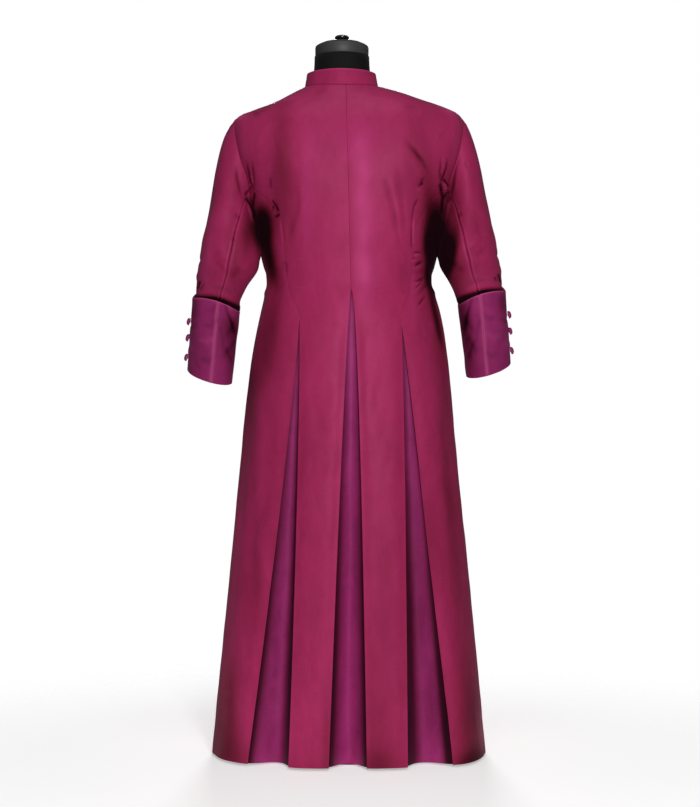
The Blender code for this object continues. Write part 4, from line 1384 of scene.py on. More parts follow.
@dataclass
class BodyPanels:
    """The fronts, backs and side-backs, cut to the worn shape and creased."""

    shape: WornShape
    row_step: float = 0.0060
    back_steps: int = 66
    side_back_steps: int = 34
    front_steps: int = 64
    seam_dip: float = 0.0005         # the cloth draws in along a sewn seam
    seam_reach: float = 0.004
    fold_roll: float = 0.0040        # the pleats' edges roll in behind the skirt's line
    fold_reach: float = 0.014
    tight: float = 0.0008            # the cloth can't move in further than this over the torso
    loose: float = 0.0060            # and no further than this over the skirt
    back_cut: Cut = Cut(0.24, 1.40, 0.174)
    side_back_cut: Cut = Cut(0.24, 1.20, 0.163)
    front_cut: Cut = Cut(0.50, 1.40, 0.448)

    def relief(self, points: Array, normals: Array) -> tuple[Array, Array]:
        """What creases and unevenness do to the body's surface.

        Args:
            points: its points.
            normals: its outward normals.

        Returns:
            The moves outwards, and the shade and highlight painted by the creases.
        """
        moved, dark = pressed(BACK_CREASES + FRONT_CREASES + SIDE_CREASES + ARMPIT_DRAGS,
                              points, normals)
        low = smooth((0.98 - points[..., 2]) / 0.35)
        stretch = points * np.array([1.0, 1.0, 0.45])
        moved += (0.0003 + 0.0009 * low) * ripple(stretch, 0.090, seed=3)
        moved += (0.0001 + 0.0002 * low) * ripple(stretch, 0.030, seed=8)
        limit = self.tight + (self.loose - self.tight) * low
        return np.maximum(moved, -limit + 0.15 * (moved + limit)), dark

    def levels(self, top: float, closer: Rows = ()) -> Array:
        """Levels of a panel's rows, from the hem up.

        Args:
            top: the panel's top.
            closer: stretches between two levels where the rows' spacing is halved.

        Returns:
            The levels, in rising order.
        """
        height = top - self.shape.hem
        steps = edge_steps(height, round(height / self.row_step), 0.5 * CLOTH)
        levels = self.shape.hem + steps
        for low, high in closer:
            extra = 0.5 * (levels[1:] + levels[:-1])
            extra = extra[(extra > low) & (extra < min(high, top - 0.01))]
            levels = np.sort(np.concatenate([levels, extra]))
        return levels

    def sheet(self, node: str, side: Side, levels: Array, inner: Edge, outer: Edge,
              steps: int, crowd: float = 1.0,
              lift: Optional[Callable[[Array, Array], Array]] = None,
              fold_tops: tuple[float, float] = (0.0, 0.0)) -> ClothSheet:
        """Lay out one panel between two edges.

        Args:
            node: the solid that it stands for.
            side: which side of the wearer it is cut for.
            levels: its rows.
            inner: its edge towards the middle.
            outer: its edge towards the side.
            steps: how many steps it has across.
            crowd: above 1, the steps grow shorter towards the outer edge.
            lift: extra height off the worn shape, by level and angle.
            fold_tops: below these levels the inner and outer edges are pleat folds.

        Returns:
            The panel.
        """
        start, end = inner(side, levels), outer(side, levels)
        start = np.where((side is Side.RIGHT) & (start < 0.0) & (end > 0.0),
                         start + 2.0 * math.pi, start)
        angles, across = [], []
        for level, first, last in zip(levels, start, end):
            arc_angles = np.linspace(first, last, 90)
            steps_long = np.linalg.norm(np.diff(self.shape.point(level, arc_angles), axis=0),
                                        axis=1)
            arc = np.concatenate([[0.0], np.cumsum(steps_long)])
            spots = edge_steps(arc[-1] - SEWN, steps, 0.5 * CLOTH, crowd)
            angles.append(np.interp(spots + 0.5 * SEWN, arc, arc_angles))
            across.append(spots)
        angles, across = np.array(angles), np.array(across)
        grid = levels[:, None].repeat(angles.shape[1], axis=1)
        points, normals = self.shape.point(grid, angles), self.shape.normal(grid, angles)
        moved, dark = self.relief(points, normals)
        for distance, top in zip((across, across[:, -1:] - across), fold_tops):
            folded = smooth((top - grid) / 0.12)
            near = folded * bell(distance, 0.025)
            moved = np.where(moved < 0.0, moved * (1.0 - near), moved)
            moved -= (1.0 - folded) * self.seam_dip * bell(distance, self.seam_reach)
            moved -= folded * self.fold_roll * bell(distance, self.fold_reach)
        if lift:
            moved += lift(grid, angles)
        # painted shade and painted highlight: the back's patches and the creases' own
        return ClothSheet(node, points + normals * moved[..., None], normals, across, grid,
                          two_tones(back_tones(points) + dark))

    def build(self) -> dict[str, ClothSheet]:
        """Cut and dress all six panels.

        Returns:
            The panels by their solids' names.
        """
        made = {}
        shape = self.shape
        centre_top, side_top = shape.pleat("centre").top, shape.pleat("left").top
        full = self.levels(shape.neck)
        behind = self.levels(shape.neck, ((0.94, 1.24), (1.09, 1.225)))
        low = self.levels(shape.princess_top, ((0.94, 1.154),))
        for side in Side:
            back = self.sheet(f"back_{side.word}", side, behind, shape.centre_edge,
                              shape.back_outer, self.back_steps, 1.8,
                              fold_tops=(centre_top, side_top))
            side_back = self.sheet(f"side_back_{side.word}", side, low, shape.side_back_inner,
                                   shape.side_back_outer, self.side_back_steps,
                                   fold_tops=(side_top, 0.0))
            front = self.sheet(f"front_{side.word}", side, full, shape.front_inner,
                               shape.front_outer, self.front_steps,
                               lift=shape.left_lift if side is Side.LEFT else None)
            for sheet, cut in ((back, self.back_cut), (side_back, self.side_back_cut),
                               (front, self.front_cut)):
                sheet.dress(WINE, cut)
                made[sheet.node] = sheet
        return made


@dataclass
class PleatUnderlays:
    """The three purple underlays, each a trough sewn behind the panels beside it."""

    shape: WornShape
    underlap: float = 0.008
    seat: float = 0.0010
    wing_depth: float = 0.0055       # how far the wings lie behind the panels' rolled edges
    edge_shade: float = 0.26         # shade close to the folds that hang over it
    low_shade: float = 0.66          # and how much more of it there is near the hem
    reach: float = 0.004             # how far that shade reaches at the top
    head: float = 0.028
    steps: int = 40
    row_step: float = 0.0065
    cut: Cut = Cut(0.14, 0.97, 0.074, Hold.FOLDED)

    def trough(self, pleat: Pleat, level: Array, share: Array) -> Array:
        """A place on an underlay's outer side.

        Args:
            pleat: which pleat.
            level: its height.
            share: 0 at the underlay's left edge, 1 at its right edge.

        Returns:
            The point or points.
        """
        hem = self.shape.hem
        start = pleat.edge(Side.LEFT, level, hem) + self.underlap
        end = pleat.edge(Side.RIGHT, level, hem) - self.underlap
        angle = self.shape.angle_at(level, start + (end - start) * share, back=True)
        down = np.clip((pleat.top - level) / (pleat.top - hem), 0.0, 1.0)
        bow = np.sin(math.pi * np.clip(share, 0.0, 1.0)) ** (0.55 + 0.75 * smooth(down / 0.8))
        fold = smooth((pleat.top - level) / 0.12)
        inward = CLOTH + self.seat + self.wing_depth * fold + pleat.depth * down * bow
        return (self.shape.point(level, angle)
                - self.shape.normal(level, angle) * inward[..., None])

    def build(self) -> None:
        """Cut and dress the underlays."""
        hem = self.shape.hem
        for number, pleat in enumerate(self.shape.pleats):
            height = pleat.top + self.head - hem
            levels = hem + edge_steps(height, round(height / self.row_step), 0.5 * CLOTH)
            shares = np.linspace(0.0, 1.0, self.steps + 1)
            shares = shares - 0.05 * np.sin(2.0 * math.pi * shares)
            grid, across = np.meshgrid(levels, shares, indexing="ij")
            points = self.trough(pleat, grid, across)
            outward = np.zeros_like(points) + np.array([0.0, 1.0, 0.0])
            width = np.linalg.norm(np.diff(points, axis=1), axis=-1).sum(axis=1)[:, None]
            middle = np.sin(math.pi * across) ** 2
            low = smooth((pleat.top - grid) / 0.5)
            moved = 0.0012 * middle * low * ripple(points * [1.0, 1.0, 0.35], 0.05, 20 + number)
            points = points + grid_normals(points, outward) * moved[..., None]
            # painted shade beside the folds that hang over the underlay, growing towards the hem
            grow = smooth((pleat.top - grid) / (0.9 * (pleat.top - hem)))
            shade = np.zeros_like(grid)
            besides = (pleat.edge(Side.LEFT, grid, hem) - points[..., 0],
                       points[..., 0] - pleat.edge(Side.RIGHT, grid, hem))
            for beside, reach in zip(besides, pleat.shades):
                edge = bell(np.clip(beside, 0.0, None), self.reach + (reach - self.reach) * grow)
                shade += (self.edge_shade + self.low_shade * grow) * edge
            ClothSheet(f"pleat_{pleat.name}", points, outward, across * width, grid,
                       {"painted_shade": shade}).dress(PURPLE, self.cut, "underlay")


@dataclass
class StandCollar:
    """The stand collar: a stiffened band from one side of the throat round to the other."""

    shape: WornShape
    top_back: float = 1.3920
    top_side: float = 1.3905
    top_front: float = 1.3640
    height: float = 0.030
    lean_in: float = 0.935
    opening: float = 3.0
    columns: int = 150
    cut: Cut = Cut(0.42, 0.035, 0.0135, Hold.FOLDED, ("back_left", "back_right"))

    def build(self) -> dict[str, ClothSheet]:
        """Cut and dress the collar.

        Returns:
            It, by its solid's name.
        """
        opening = math.radians(self.opening)
        start, end = -0.5 * math.pi + opening, 1.5 * math.pi - opening
        around = edge_steps(self.cut.width, self.columns, 0.5 * COLLAR_CLOTH)
        height = edge_steps(self.height, 14, 0.5 * COLLAR_CLOTH)
        rise, angle = np.meshgrid(height / height[-1],
                                  start + (end - start) * around / self.cut.width,
                                  indexing="ij")
        centre = np.array([self.shape.read("centre_x", self.shape.neck), 0.0, 0.0])
        foot = self.shape.point(self.shape.neck, angle)
        n = np.sin(angle)
        top = self.top_side + np.where(n > 0, self.top_back - self.top_side,
                                       self.top_front - self.top_side) * n * n
        outward = foot * [1.0, 1.0, 0.0] - centre
        points = outward * (1.0 + (self.lean_in - 1.0) * rise)[..., None] + centre
        points[..., 2] = foot[..., 2] + SEAM + (top - foot[..., 2] - SEAM) * rise
        moved = 0.0005 * ripple(points, 0.05, 31)
        points = points + unit(outward) * moved[..., None]
        # painted highlight along the collar's top edge
        rubbed = 0.7 * bell(height[-1] - height, 0.0020)[:, None] + 0.0 * rise
        sheet = ClothSheet("collar", points, outward, around, height[:, None],
                           two_tones(-rubbed), COLLAR_CLOTH)
        sheet.dress(WINE, self.cut)
        return {"collar": sheet}


# ---------------- sleeves and cuffs
STATION_NAMES = ("place", "x", "y", "z", "across", "deep", "roll", "lean", "shaped",
                 "back_seam")

SLEEVE_CREASES = {
    Side.LEFT: (
        # long soft dent down the outer sleeve, and the dent beside the back seam
        fold(-1.4, 11, 268, 1080, 274, 1030, 266, 985, lean=-0.4, dark=0.1),
        fold(1, 14, 254, 1150, 256, 1090, 252, 1020),
        fold(-1.4, 6, 268, 1004, 262, 990, 250, 984, dark=0.1),
        # breaks above the cuff
        fold(-1.8, 6, 214, 992, 226, 976, 240, 966, dark=0.16),
        fold(1.2, 7, 190, 1010, 206, 990, 222, 978),
        line(2.4, 0.6, 234.5, 1294, 237.5, 1288, 241.5, 1278),
        line(2.4, 0.3, 244.5, 1280, 249, 1266),
        line(3, 0.9, 300, 966, 306, 954, 308, 946),
        line(2.4, 0.5, 292, 958, 299, 950, 303, 944),
        # puckers beside the back seam
        line(3, 0.22, 228, 1098, 220, 1090, 214, 1093),
        line(2.4, 0.12, 234, 1048, 226, 1040),
        fold(1.2, 8, 262, 1040, 250, 1012, 236, 1000, dark=-0.1),
        # the hidden sides
        *seen_from(Facing.LEFT,
            fold(-2, 6, -20, 1020, 20, 1000, 70, 1010, dark=0.15),
            fold(1.8, 6, -30, 985, 20, 972, 60, 980),
            fold(-1.2, 10, 30, 1180, 40, 1100, 34, 1040)),
        *seen_from(Facing.FRONT,
            fold(-1.8, 9, 240, 1130, 250, 1060, 245, 1000),
            fold(-2.2, 5, 215, 1030, 240, 1005, 270, 1000, lean=0.4, dark=0.2),
            fold(1.8, 6, 225, 990, 255, 975, 285, 978)),
    ),
    Side.RIGHT: (
        fold(1, 12, -236, 1090, -238, 1050, -232, 1010),
        fold(-1.4, 10, -256, 1110, -258, 1060, -262, 1020, lean=0.4, dark=0.12),
        fold(-1.4, 6, -272, 1030, -264, 1016, -252, 1008, dark=0.1),
        fold(-1.8, 6, -204, 1004, -216, 988, -232, 978, dark=0.14),
        fold(1.2, 7, -190, 1020, -206, 1000, -222, 988),
        line(2.4, 0.6, -218, 1308.6, -225, 1297, -233, 1282),
        line(2.4, 0.3, -230, 1300, -239, 1284),
        line(3, 0.9, -300, 980, -306, 968, -309, 960),
        line(2.4, 0.5, -292, 972, -300, 962),
        line(3, 0.2, -226, 1100, -218, 1090),
        line(2.4, 0.18, -234, 1206, -240, 1190),
        fold(1.2, 8, -262, 1060, -250, 1036, -236, 1022, dark=-0.1),
        *seen_from(Facing.RIGHT,
            fold(-2, 6, -20, 1030, 20, 1010, 70, 1020, dark=0.15),
            fold(1.8, 6, -30, 998, 20, 984, 60, 994),
            fold(-1.2, 10, 30, 1180, 42, 1100, 34, 1040)),
        *seen_from(Facing.FRONT,
            fold(-1.8, 9, -240, 1130, -250, 1060, -246, 1000),
            fold(-2.2, 5, -215, 1040, -240, 1015, -270, 1010, lean=-0.4, dark=0.2),
            fold(1.8, 6, -225, 1000, -255, 986, -285, 990)),
    ),
}


@dataclass
class Arm:
    """Rings down one arm that the sleeve and the cuff are cut to."""

    side: Side
    sleeve_rows: Rows = (
        (0.0, 0.2392, 0.014, 1.1075, 0.0452, 0.0530, 16.0, 0.0, 0.0, 119.0),
        (1.0, 0.2390, 0.036, 1.0600, 0.0545, 0.0570, 9.0, 0.0, 0.0, 102.0),
        (1.6, 0.2395, 0.040, 1.0300, 0.0595, 0.0590, 8.0, 2.0, 0.0, 96.0),
        (2.2, 0.2430, 0.038, 1.0000, 0.0605, 0.0590, 8.0, 6.0, 0.0, 92.0),
        (3.1, 0.2575, 0.020, 0.9560, 0.0530, 0.0545, 10.0, 11.0, 0.4, 97.0),
        (3.45, 0.2640, 0.010, 0.9370, 0.0495, 0.0505, 11.5, 13.5, 0.9, 98.0),
        (3.60, 0.2655, 0.008, 0.9275, 0.0480, 0.0485, 12.0, 14.0, 0.85, 98.0),
        (3.72, 0.2665, 0.0075, 0.9225, 0.0445, 0.0440, 12.5, 14.0, 0.85, 98.0),
        (4.0, 0.2690, 0.004, 0.9180, 0.0385, 0.0375, 15.0, 15.0, 1.0, 98.0),
        (5.0, 0.2775, -0.0140, 0.8720, 0.0425, 0.0425, 16.0, 16.0, 0.6, 97.0),
        (6.0, 0.2833, -0.0280, 0.8220, 0.0441, 0.0441, 16.5, 16.0, 0.2, 97.0),
        (7.0, 0.2892, -0.0410, 0.7730, 0.0457, 0.0457, 17.0, 16.0, 0.0, 97.0),
    )
    cuff_rows: Rows = (
        (0.0, 0.2720, -0.0010, 0.9190, 0.0512, 0.0512, 16.0, 15.0, 1.0, 98.0),
        (1.0, 0.2775, -0.0140, 0.8720, 0.0502, 0.0502, 16.0, 16.0, 0.6, 97.0),
        (2.0, 0.2833, -0.0280, 0.8220, 0.0492, 0.0492, 16.5, 16.0, 0.2, 97.0),
        (3.0, 0.2892, -0.0410, 0.7730, 0.0484, 0.0484, 17.0, 16.0, 0.0, 97.0),
    )
    first_half: float = 0.0452       # half the sleeve's width at its first ring
    front_seam: float = 247.5
    armhole_back_seam: float = 157.5
    rim_rise: float = 0.019
    drawn: float = 0.006             # the left sleeve's inner side is drawn out above the cuff
    raised: float = 0.014            # the right forearm is carried a little higher
    lift_high: float = 1.05
    lift_low: float = 0.94

    def __post_init__(self) -> None:
        """Read the tables once."""
        self.sleeve = Table(STATION_NAMES, self.sleeve_rows, soft=0.12)
        self.cuff = Table(STATION_NAMES, self.cuff_rows)

    def ring(self, table: Table, place: Array, phi: Array, out: Array | float = 0.0) -> Array:
        """A point of a ring round the arm.

        Args:
            table: the sleeve's or the cuff's rings.
            place: how far down the table.
            phi: angle round the arm, 0 outside and 90 degrees behind.
            out: how far off the ring.

        Returns:
            The point or points.
        """
        place, phi = np.broadcast_arrays(np.asarray(place, float), np.asarray(phi, float))
        roll, lean = (np.radians(table.read(name, place)) for name in ("roll", "lean"))
        across = (table.read("across", place) + out) * np.cos(phi)
        deep = (table.read("deep", place) + out) * np.sin(phi)
        z = table.read("z", place)
        rise = self.rim_rise * table.read("shaped", place) * np.abs(np.sin(phi)) ** 1.5
        left = self.side is Side.LEFT
        lift = 0.0 if left else self.raised * smooth(
            (self.lift_high - z) / (self.lift_high - self.lift_low))
        drawn = (self.drawn if left and table is self.sleeve else 0.0) * np.clip(
            -np.cos(phi), 0.0, 1.0) * smooth((1.0 - z) / 0.04) * smooth((z - 0.915) / 0.02)
        return np.stack([
            self.side.value * (table.read("x", place) + across * np.cos(roll) + drawn),
            table.read("y", place) + deep * np.cos(lean),
            z + rise + lift + across * np.sin(roll) - deep * np.sin(lean)], axis=-1)

    def seam_phi(self, back_seam: Array | float, is_top: bool, share: Array) -> Array:
        """Angle of a share across the top or under piece.

        Args:
            back_seam: angle of the back seam there, in degrees.
            is_top: whether the piece is the top one.
            share: 0 at the piece's first edge, 1 at its last.

        Returns:
            The angle, in radians.
        """
        first = self.front_seam - 360.0 if is_top else back_seam
        last = back_seam if is_top else self.front_seam
        return np.radians(first + (last - first) * share)


@dataclass
class Sleeve:
    """A two-piece sleeve set into the armhole, bloused over the cuff's top edge."""

    arm: Arm
    shape: WornShape
    fullness: float = 0.83
    underarm_lip: float = 0.0035
    inset: float = 0.006
    stand: float = -0.0019           # the head starts just inside the body's cut edge
    cap_rows: int = 60
    arm_rows: int = 100
    lining_rows: int = 14
    head_length: float = 0.19        # from the armhole to the first ring on the flat cloth
    mouth: float = 4.0               # place of the cuff's mouth, and the sleeve's own end in it
    end: float = 7.0
    station: float = 0.05            # length of the arm from one place to the next near the end
    filled: float = 0.0475           # half width that fills the cuff's mouth at either side
    gathers: float = 0.0011
    snug: float = 0.0008             # gap to the body where the sleeve lies against it
    seam_dip: float = 0.0006
    top_grid: tuple[float, int, float] = (0.215, 80, 1.6)      # width, steps and their crowd
    under_grid: tuple[float, int, float] = (0.140, 52, -1.6)
    top_cut: Cut = Cut(0.24, 0.66, 0.096)
    under_cut: Cut = Cut(0.15, 0.54, 0.053)

    def head(self, is_top: bool, share: Array, t: Array) -> Array:
        """A point of the sleeve head, on a curve from the armhole to the arm.

        Args:
            is_top: whether it lies on the top piece.
            share: how far across the piece.
            t: 0 at the armhole, 1 at the arm's first ring.

        Returns:
            The point or points.
        """
        arm, side = self.arm, self.arm.side
        turn_hole = arm.seam_phi(arm.armhole_back_seam, is_top, share)
        turn_hole = (turn_hole + math.pi) % (2.0 * math.pi) - math.pi
        middle = 0.5 * (self.shape.underarm + self.shape.shoulder)
        level = middle + (self.shape.armhole_level(turn_hole) - middle) * (1.0 - self.inset)
        hole = self.shape.point(level, self.shape.armhole_angle(side, turn_hole, self.inset))
        hole = hole + np.array([side.value * self.stand, 0.0, 0.0])
        turn = arm.seam_phi(arm.sleeve.read("back_seam", 0.0), is_top, share)
        ring = arm.ring(arm.sleeve, 0.0, turn)
        outside = (0.5 + 0.5 * np.cos(turn))[..., None]
        lean, out = (-0.130, 0.003) if side is Side.LEFT else (-0.160, 0.0)
        pull = np.array([lean * side.value, 0.0, 0.995]) * self.fullness * np.sqrt(outside)
        length = np.linalg.norm(ring - hole, axis=-1, keepdims=True)
        push = np.concatenate([side.value * (out * outside
                                             + self.underarm_lip * (1.0 - outside) ** 4),
                               0.0 * outside, 0.0 * outside], axis=-1)
        blend = 0.5 + 0.5 * np.sqrt(outside)
        bend = hole * (1.0 - blend) + ring * blend + pull * length + push
        t = t[..., None]
        return hole * (1 - t) ** 2 + bend * (2 * t * (1 - t)) + ring * t * t

    def against_body(self, points: Array) -> Array:
        """Lay the inner side of the upper sleeve against the body below the armhole.

        Args:
            points: the sleeve's points.

        Returns:
            The points, with those that are within a few millimetres of the body drawn to it.
        """
        x, y, z = np.moveaxis(points, -1, 0)
        level = np.clip(z, self.shape.hem, self.shape.shoulder)
        share = np.clip(np.abs(y) / self.shape.half(y > 0.0, level), 0.0, 0.999)
        body = self.shape.read("half_width", level) * self.shape.left_over(share, level)
        gap = np.abs(x) - body
        drawn = self.snug + np.maximum(gap - self.snug, 0.0) * smooth((gap - 0.004) / 0.009)
        near = smooth((z - 1.000) / 0.030) * smooth((1.1275 - z) / 0.006) * (share < 0.8)
        moved = points.copy()
        moved[..., 0] += np.sign(x) * (drawn - gap) * near
        return moved

    def rings(self, is_top: bool, head_t: Array, places: Array,
              share: Array) -> tuple[Array, Array]:
        """Lay a piece's grid from the armhole to the sleeve's end inside the cuff.

        Args:
            is_top: whether it is the top piece.
            head_t: the head's rows, from 0 at the armhole to 1 at the arm's first ring.
            places: the rows below it, as places down the arm.
            share: the columns, as shares of the width.

        Returns:
            The points, and the way out at each.
        """
        arm = self.arm
        t, head_share = np.meshgrid(head_t, share, indexing="ij")
        place, arm_share = np.meshgrid(places, share, indexing="ij")
        turn = arm.seam_phi(arm.sleeve.read("back_seam", place), is_top, arm_share)
        half = arm.sleeve.read("across", place)
        narrow = np.clip(self.filled - half, 0.0, None)
        narrow = narrow * np.cos(turn) ** 4 * smooth((4.6 - place) / 0.6)
        points = np.concatenate([self.head(is_top, head_share, t),
                                 arm.ring(arm.sleeve, place, turn, narrow)])
        points = self.against_body(ease_rows(points, len(head_t), reach=12, times=60))
        middle = np.concatenate([arm.ring(arm.sleeve, 0.0 * t, 0.0, -arm.first_half),
                                 arm.ring(arm.sleeve, place, 0.0, -half)])
        return points, points - middle

    def sheet(self, is_top: bool) -> ClothSheet:
        """Lay out the top or the under piece.

        Args:
            is_top: whether it is the top piece.

        Returns:
            The piece.
        """
        arm, side = self.arm, self.arm.side
        width, steps, crowd = self.top_grid if is_top else self.under_grid
        across = edge_steps(width, steps, 0.5 * CLOTH, crowd)
        share = across / width
        head_t = np.concatenate([[0.0, 0.0006, 0.0022, 0.0044, 0.012],
                                 np.linspace(0.03, 1.0, self.cap_rows)[:-1]])
        places = np.concatenate([
            np.linspace(0.0, self.mouth, self.arm_rows),
            np.linspace(self.mouth, self.end, self.lining_rows)[1:-1],
            self.end - np.array([2.6, 1.0, 0.5, 0.134, 0.0]) * 0.5 * CLOTH / self.station])
        points, outward = self.rings(is_top, head_t, places, share)
        normals = grid_normals(points, outward)
        middle = points[len(head_t):, len(share) // 2]
        down = np.concatenate([head_t * self.head_length, self.head_length + np.cumsum(
            np.concatenate([[0.0], np.linalg.norm(np.diff(middle, axis=0), axis=-1)]))])
        sewn = smooth(down / 0.008)[:, None]
        showing = sewn * np.concatenate(
            [np.ones(len(head_t)), smooth((3.9 - places) / 0.5)])[:, None]
        creased, dark = pressed(SLEEVE_CREASES[side] + ARMPIT_DRAGS, points, normals)
        towards_body = bell(points[..., 0] * side.value - 0.197, 0.010) * np.exp(
            -np.abs((points[..., 2] - 1.09) / 0.06) ** 4)
        moved = showing * np.where(creased < 0.0, creased * (1.0 - towards_body), creased)
        moved += showing * 0.0004 * ripple(points * [1.0, 1.0, 0.5], 0.060, 40 + is_top)
        if is_top:
            hole_turn = np.degrees(arm.seam_phi(arm.armhole_back_seam, True, share))
            crown = bell(hole_turn, 42.0)[None, :] * bell(down - 0.012, 0.022)[:, None] * sewn
            moved += crown * (0.0010 + self.gathers * np.sin(np.radians(hole_turn) * 15.0))
        moved -= showing * self.seam_dip * bell(np.minimum(across, width - across), 0.004)
        points = points + normals * moved[..., None]
        # painted shade on the sleeve's end inside the cuff, which shows as a dark slot above the
        # cuff's rim
        cuff_slot_shade = np.concatenate([0.0 * head_t, smooth((places - 3.50) / 0.25)])[:, None]
        back = (width - across if is_top else across)[None, :]
        # a dark line painted along the back seam, and a painted highlight on the cloth beside it
        seam = smooth((1.150 - points[..., 2]) / 0.04) * (
            0.34 * bell(back, 0.0012) - 0.26 * bell(back - 0.0040, 0.0018))
        return ClothSheet(f"sleeve_{'top' if is_top else 'under'}_{side.word}", points, outward,
                          across, down[:, None],
                          two_tones(cuff_slot_shade + showing * dark + seam + back_tones(points)))

    def build(self) -> None:
        """Cut and dress both pieces."""
        self.sheet(True).dress(WINE, self.top_cut)
        self.sheet(False).dress(WINE, self.under_cut)


CUFF_CREASES = {
    Side.LEFT: (
        line(3.6, 0.45, 252, 934, 245, 900, 237, 876, 232, 846),
        line(4, 0.25, 250, 836, 243, 812, 236, 790),
        line(3.4, 0.22, 264, 880, 257, 850, 254, 820),
        fold(1.4, 3.5, 242, 920, 240, 900, dark=-0.16),
        # a band of painted shade, with no fold under it
        fold(0, 12, 312, 935, 316, 880, dark=0.16),
        fold(-1.4, 4, 262, 925, 276, 905, 300, 900, crisp=1.6, dark=0.16),
        fold(-1.6, 5, 258, 890, 280, 872, 306, 876, dark=0.16),
        fold(1.4, 6, 270, 850, 292, 842, 312, 850, dark=-0.16),
        fold(-1.4, 6, 268, 815, 290, 800, 312, 812, dark=0.16),
        fold(-1.6, 4, 228, 890, 240, 868, 252, 850, crisp=1.6, dark=0.16),
        fold(-1.4, 5, 232, 850, 246, 826, 256, 800, dark=0.16),
        fold(1.2, 5, 226, 872, 240, 846, 250, 820, dark=-0.16),
        *seen_from(Facing.LEFT,
            fold(-1.4, 5, -30, 890, 0, 870, 30, 880, dark=0.16),
            fold(1.4, 6, -50, 840, -20, 822, 10, 834, dark=-0.16)),
        *seen_from(Facing.FRONT,
            fold(-1.4, 5, 250, 880, 275, 858, 300, 866, dark=0.16)),
    ),
    Side.RIGHT: (
        line(3.6, 0.45, -250, 946, -244, 912, -238, 884, -236, 854),
        line(4, 0.25, -254, 848, -247, 824, -243, 800),
        line(3.4, 0.2, -266, 892, -259, 862, -258, 832),
        # a band of painted shade, with no fold under it
        fold(0, 12, -312, 944, -318, 894, dark=0.16),
        fold(-1.4, 4, -262, 935, -278, 916, -302, 912, crisp=1.6, dark=0.16),
        fold(-1.4, 5, -262, 905, -284, 888, -308, 892, dark=0.16),
        fold(1.4, 6, -272, 860, -296, 848, -316, 858, dark=-0.16),
        fold(-1.4, 6, -270, 825, -292, 812, -314, 822, dark=0.16),
        fold(-1.6, 4, -230, 900, -244, 876, -256, 856, crisp=1.6, dark=0.16),
        fold(-1.4, 5, -236, 860, -250, 836, -262, 812, dark=0.16),
        *seen_from(Facing.RIGHT,
            fold(-1.4, 5, -30, 900, 0, 882, 30, 892, dark=0.16),
            fold(1.4, 6, -50, 852, -20, 834, 10, 846, dark=-0.16)),
        *seen_from(Facing.FRONT,
            fold(-1.4, 5, -250, 890, -275, 870, -300, 878, dark=0.16)),
    ),
}


@dataclass
class Cuff:
    """A turned-back gauntlet cuff of an outer and an inner panel, with a corded back seam."""

    arm: Arm
    rows: int = 44
    outer_width: float = 0.184
    inner_width: float = 0.130
    height: float = 0.153
    cord: float = 0.0009             # how far the back seam's cord stands up
    cord_reach: float = 0.0022
    outer_cut: Cut = Cut(0.21, 0.185, 0.0292, Hold.FOLDED)
    inner_cut: Cut = Cut(0.15, 0.185, 0.0210, Hold.FOLDED)

    def sheet(self, is_outer: bool) -> ClothSheet:
        """Lay out the outer or the inner panel.

        Args:
            is_outer: whether it is the outer panel.

        Returns:
            The panel.
        """
        arm, side = self.arm, self.arm.side
        width, height = self.outer_width if is_outer else self.inner_width, self.height
        across = edge_steps(width - SEAM, 50 if is_outer else 36, 0.5 * CUFF_CLOTH)
        down = edge_steps(height, self.rows, 0.5 * CUFF_CLOTH)[:, None]
        place, share = np.broadcast_arrays(3.0 * down / height, (across + 0.5 * SEAM) / width)
        turn = arm.seam_phi(arm.cuff.read("back_seam", place), is_outer, share)
        points = arm.ring(arm.cuff, place, turn)
        outward = points - arm.ring(arm.cuff, place, 0.0, -arm.cuff.read("across", place))
        normals = grid_normals(points, outward)
        back = width - across if is_outer else across
        moved, dark = pressed(CUFF_CREASES[side], points, normals)
        moved += self.cord * bell(back, self.cord_reach)
        moved += 0.0006 * ripple(points, 0.045, 50 + is_outer)
        # painted highlight along the corded back seam and along the cuff's top rim
        rubbed = 0.85 * bell(back - 0.0012, 0.0018) + 0.70 * bell(down - 0.001, 0.0015)
        laid = points + normals * moved[..., None]
        return ClothSheet(f"cuff_{'outer' if is_outer else 'inner'}_{side.word}", laid, outward,
                          across, down, two_tones(dark + back_tones(laid) - rubbed), CUFF_CLOTH)

    def build(self) -> dict[str, ClothSheet]:
        """Cut and dress both panels.

        Returns:
            The panels by their solids' names.
        """
        made = {}
        for is_outer, cut, over in ((True, self.outer_cut, "top"),
                                    (False, self.inner_cut, "under")):
            sheet = self.sheet(is_outer)
            sheet.dress(PURPLE, replace(cut, rests_on=(f"sleeve_{over}_{self.arm.side.word}",)))
            made[sheet.node] = sheet
        return made


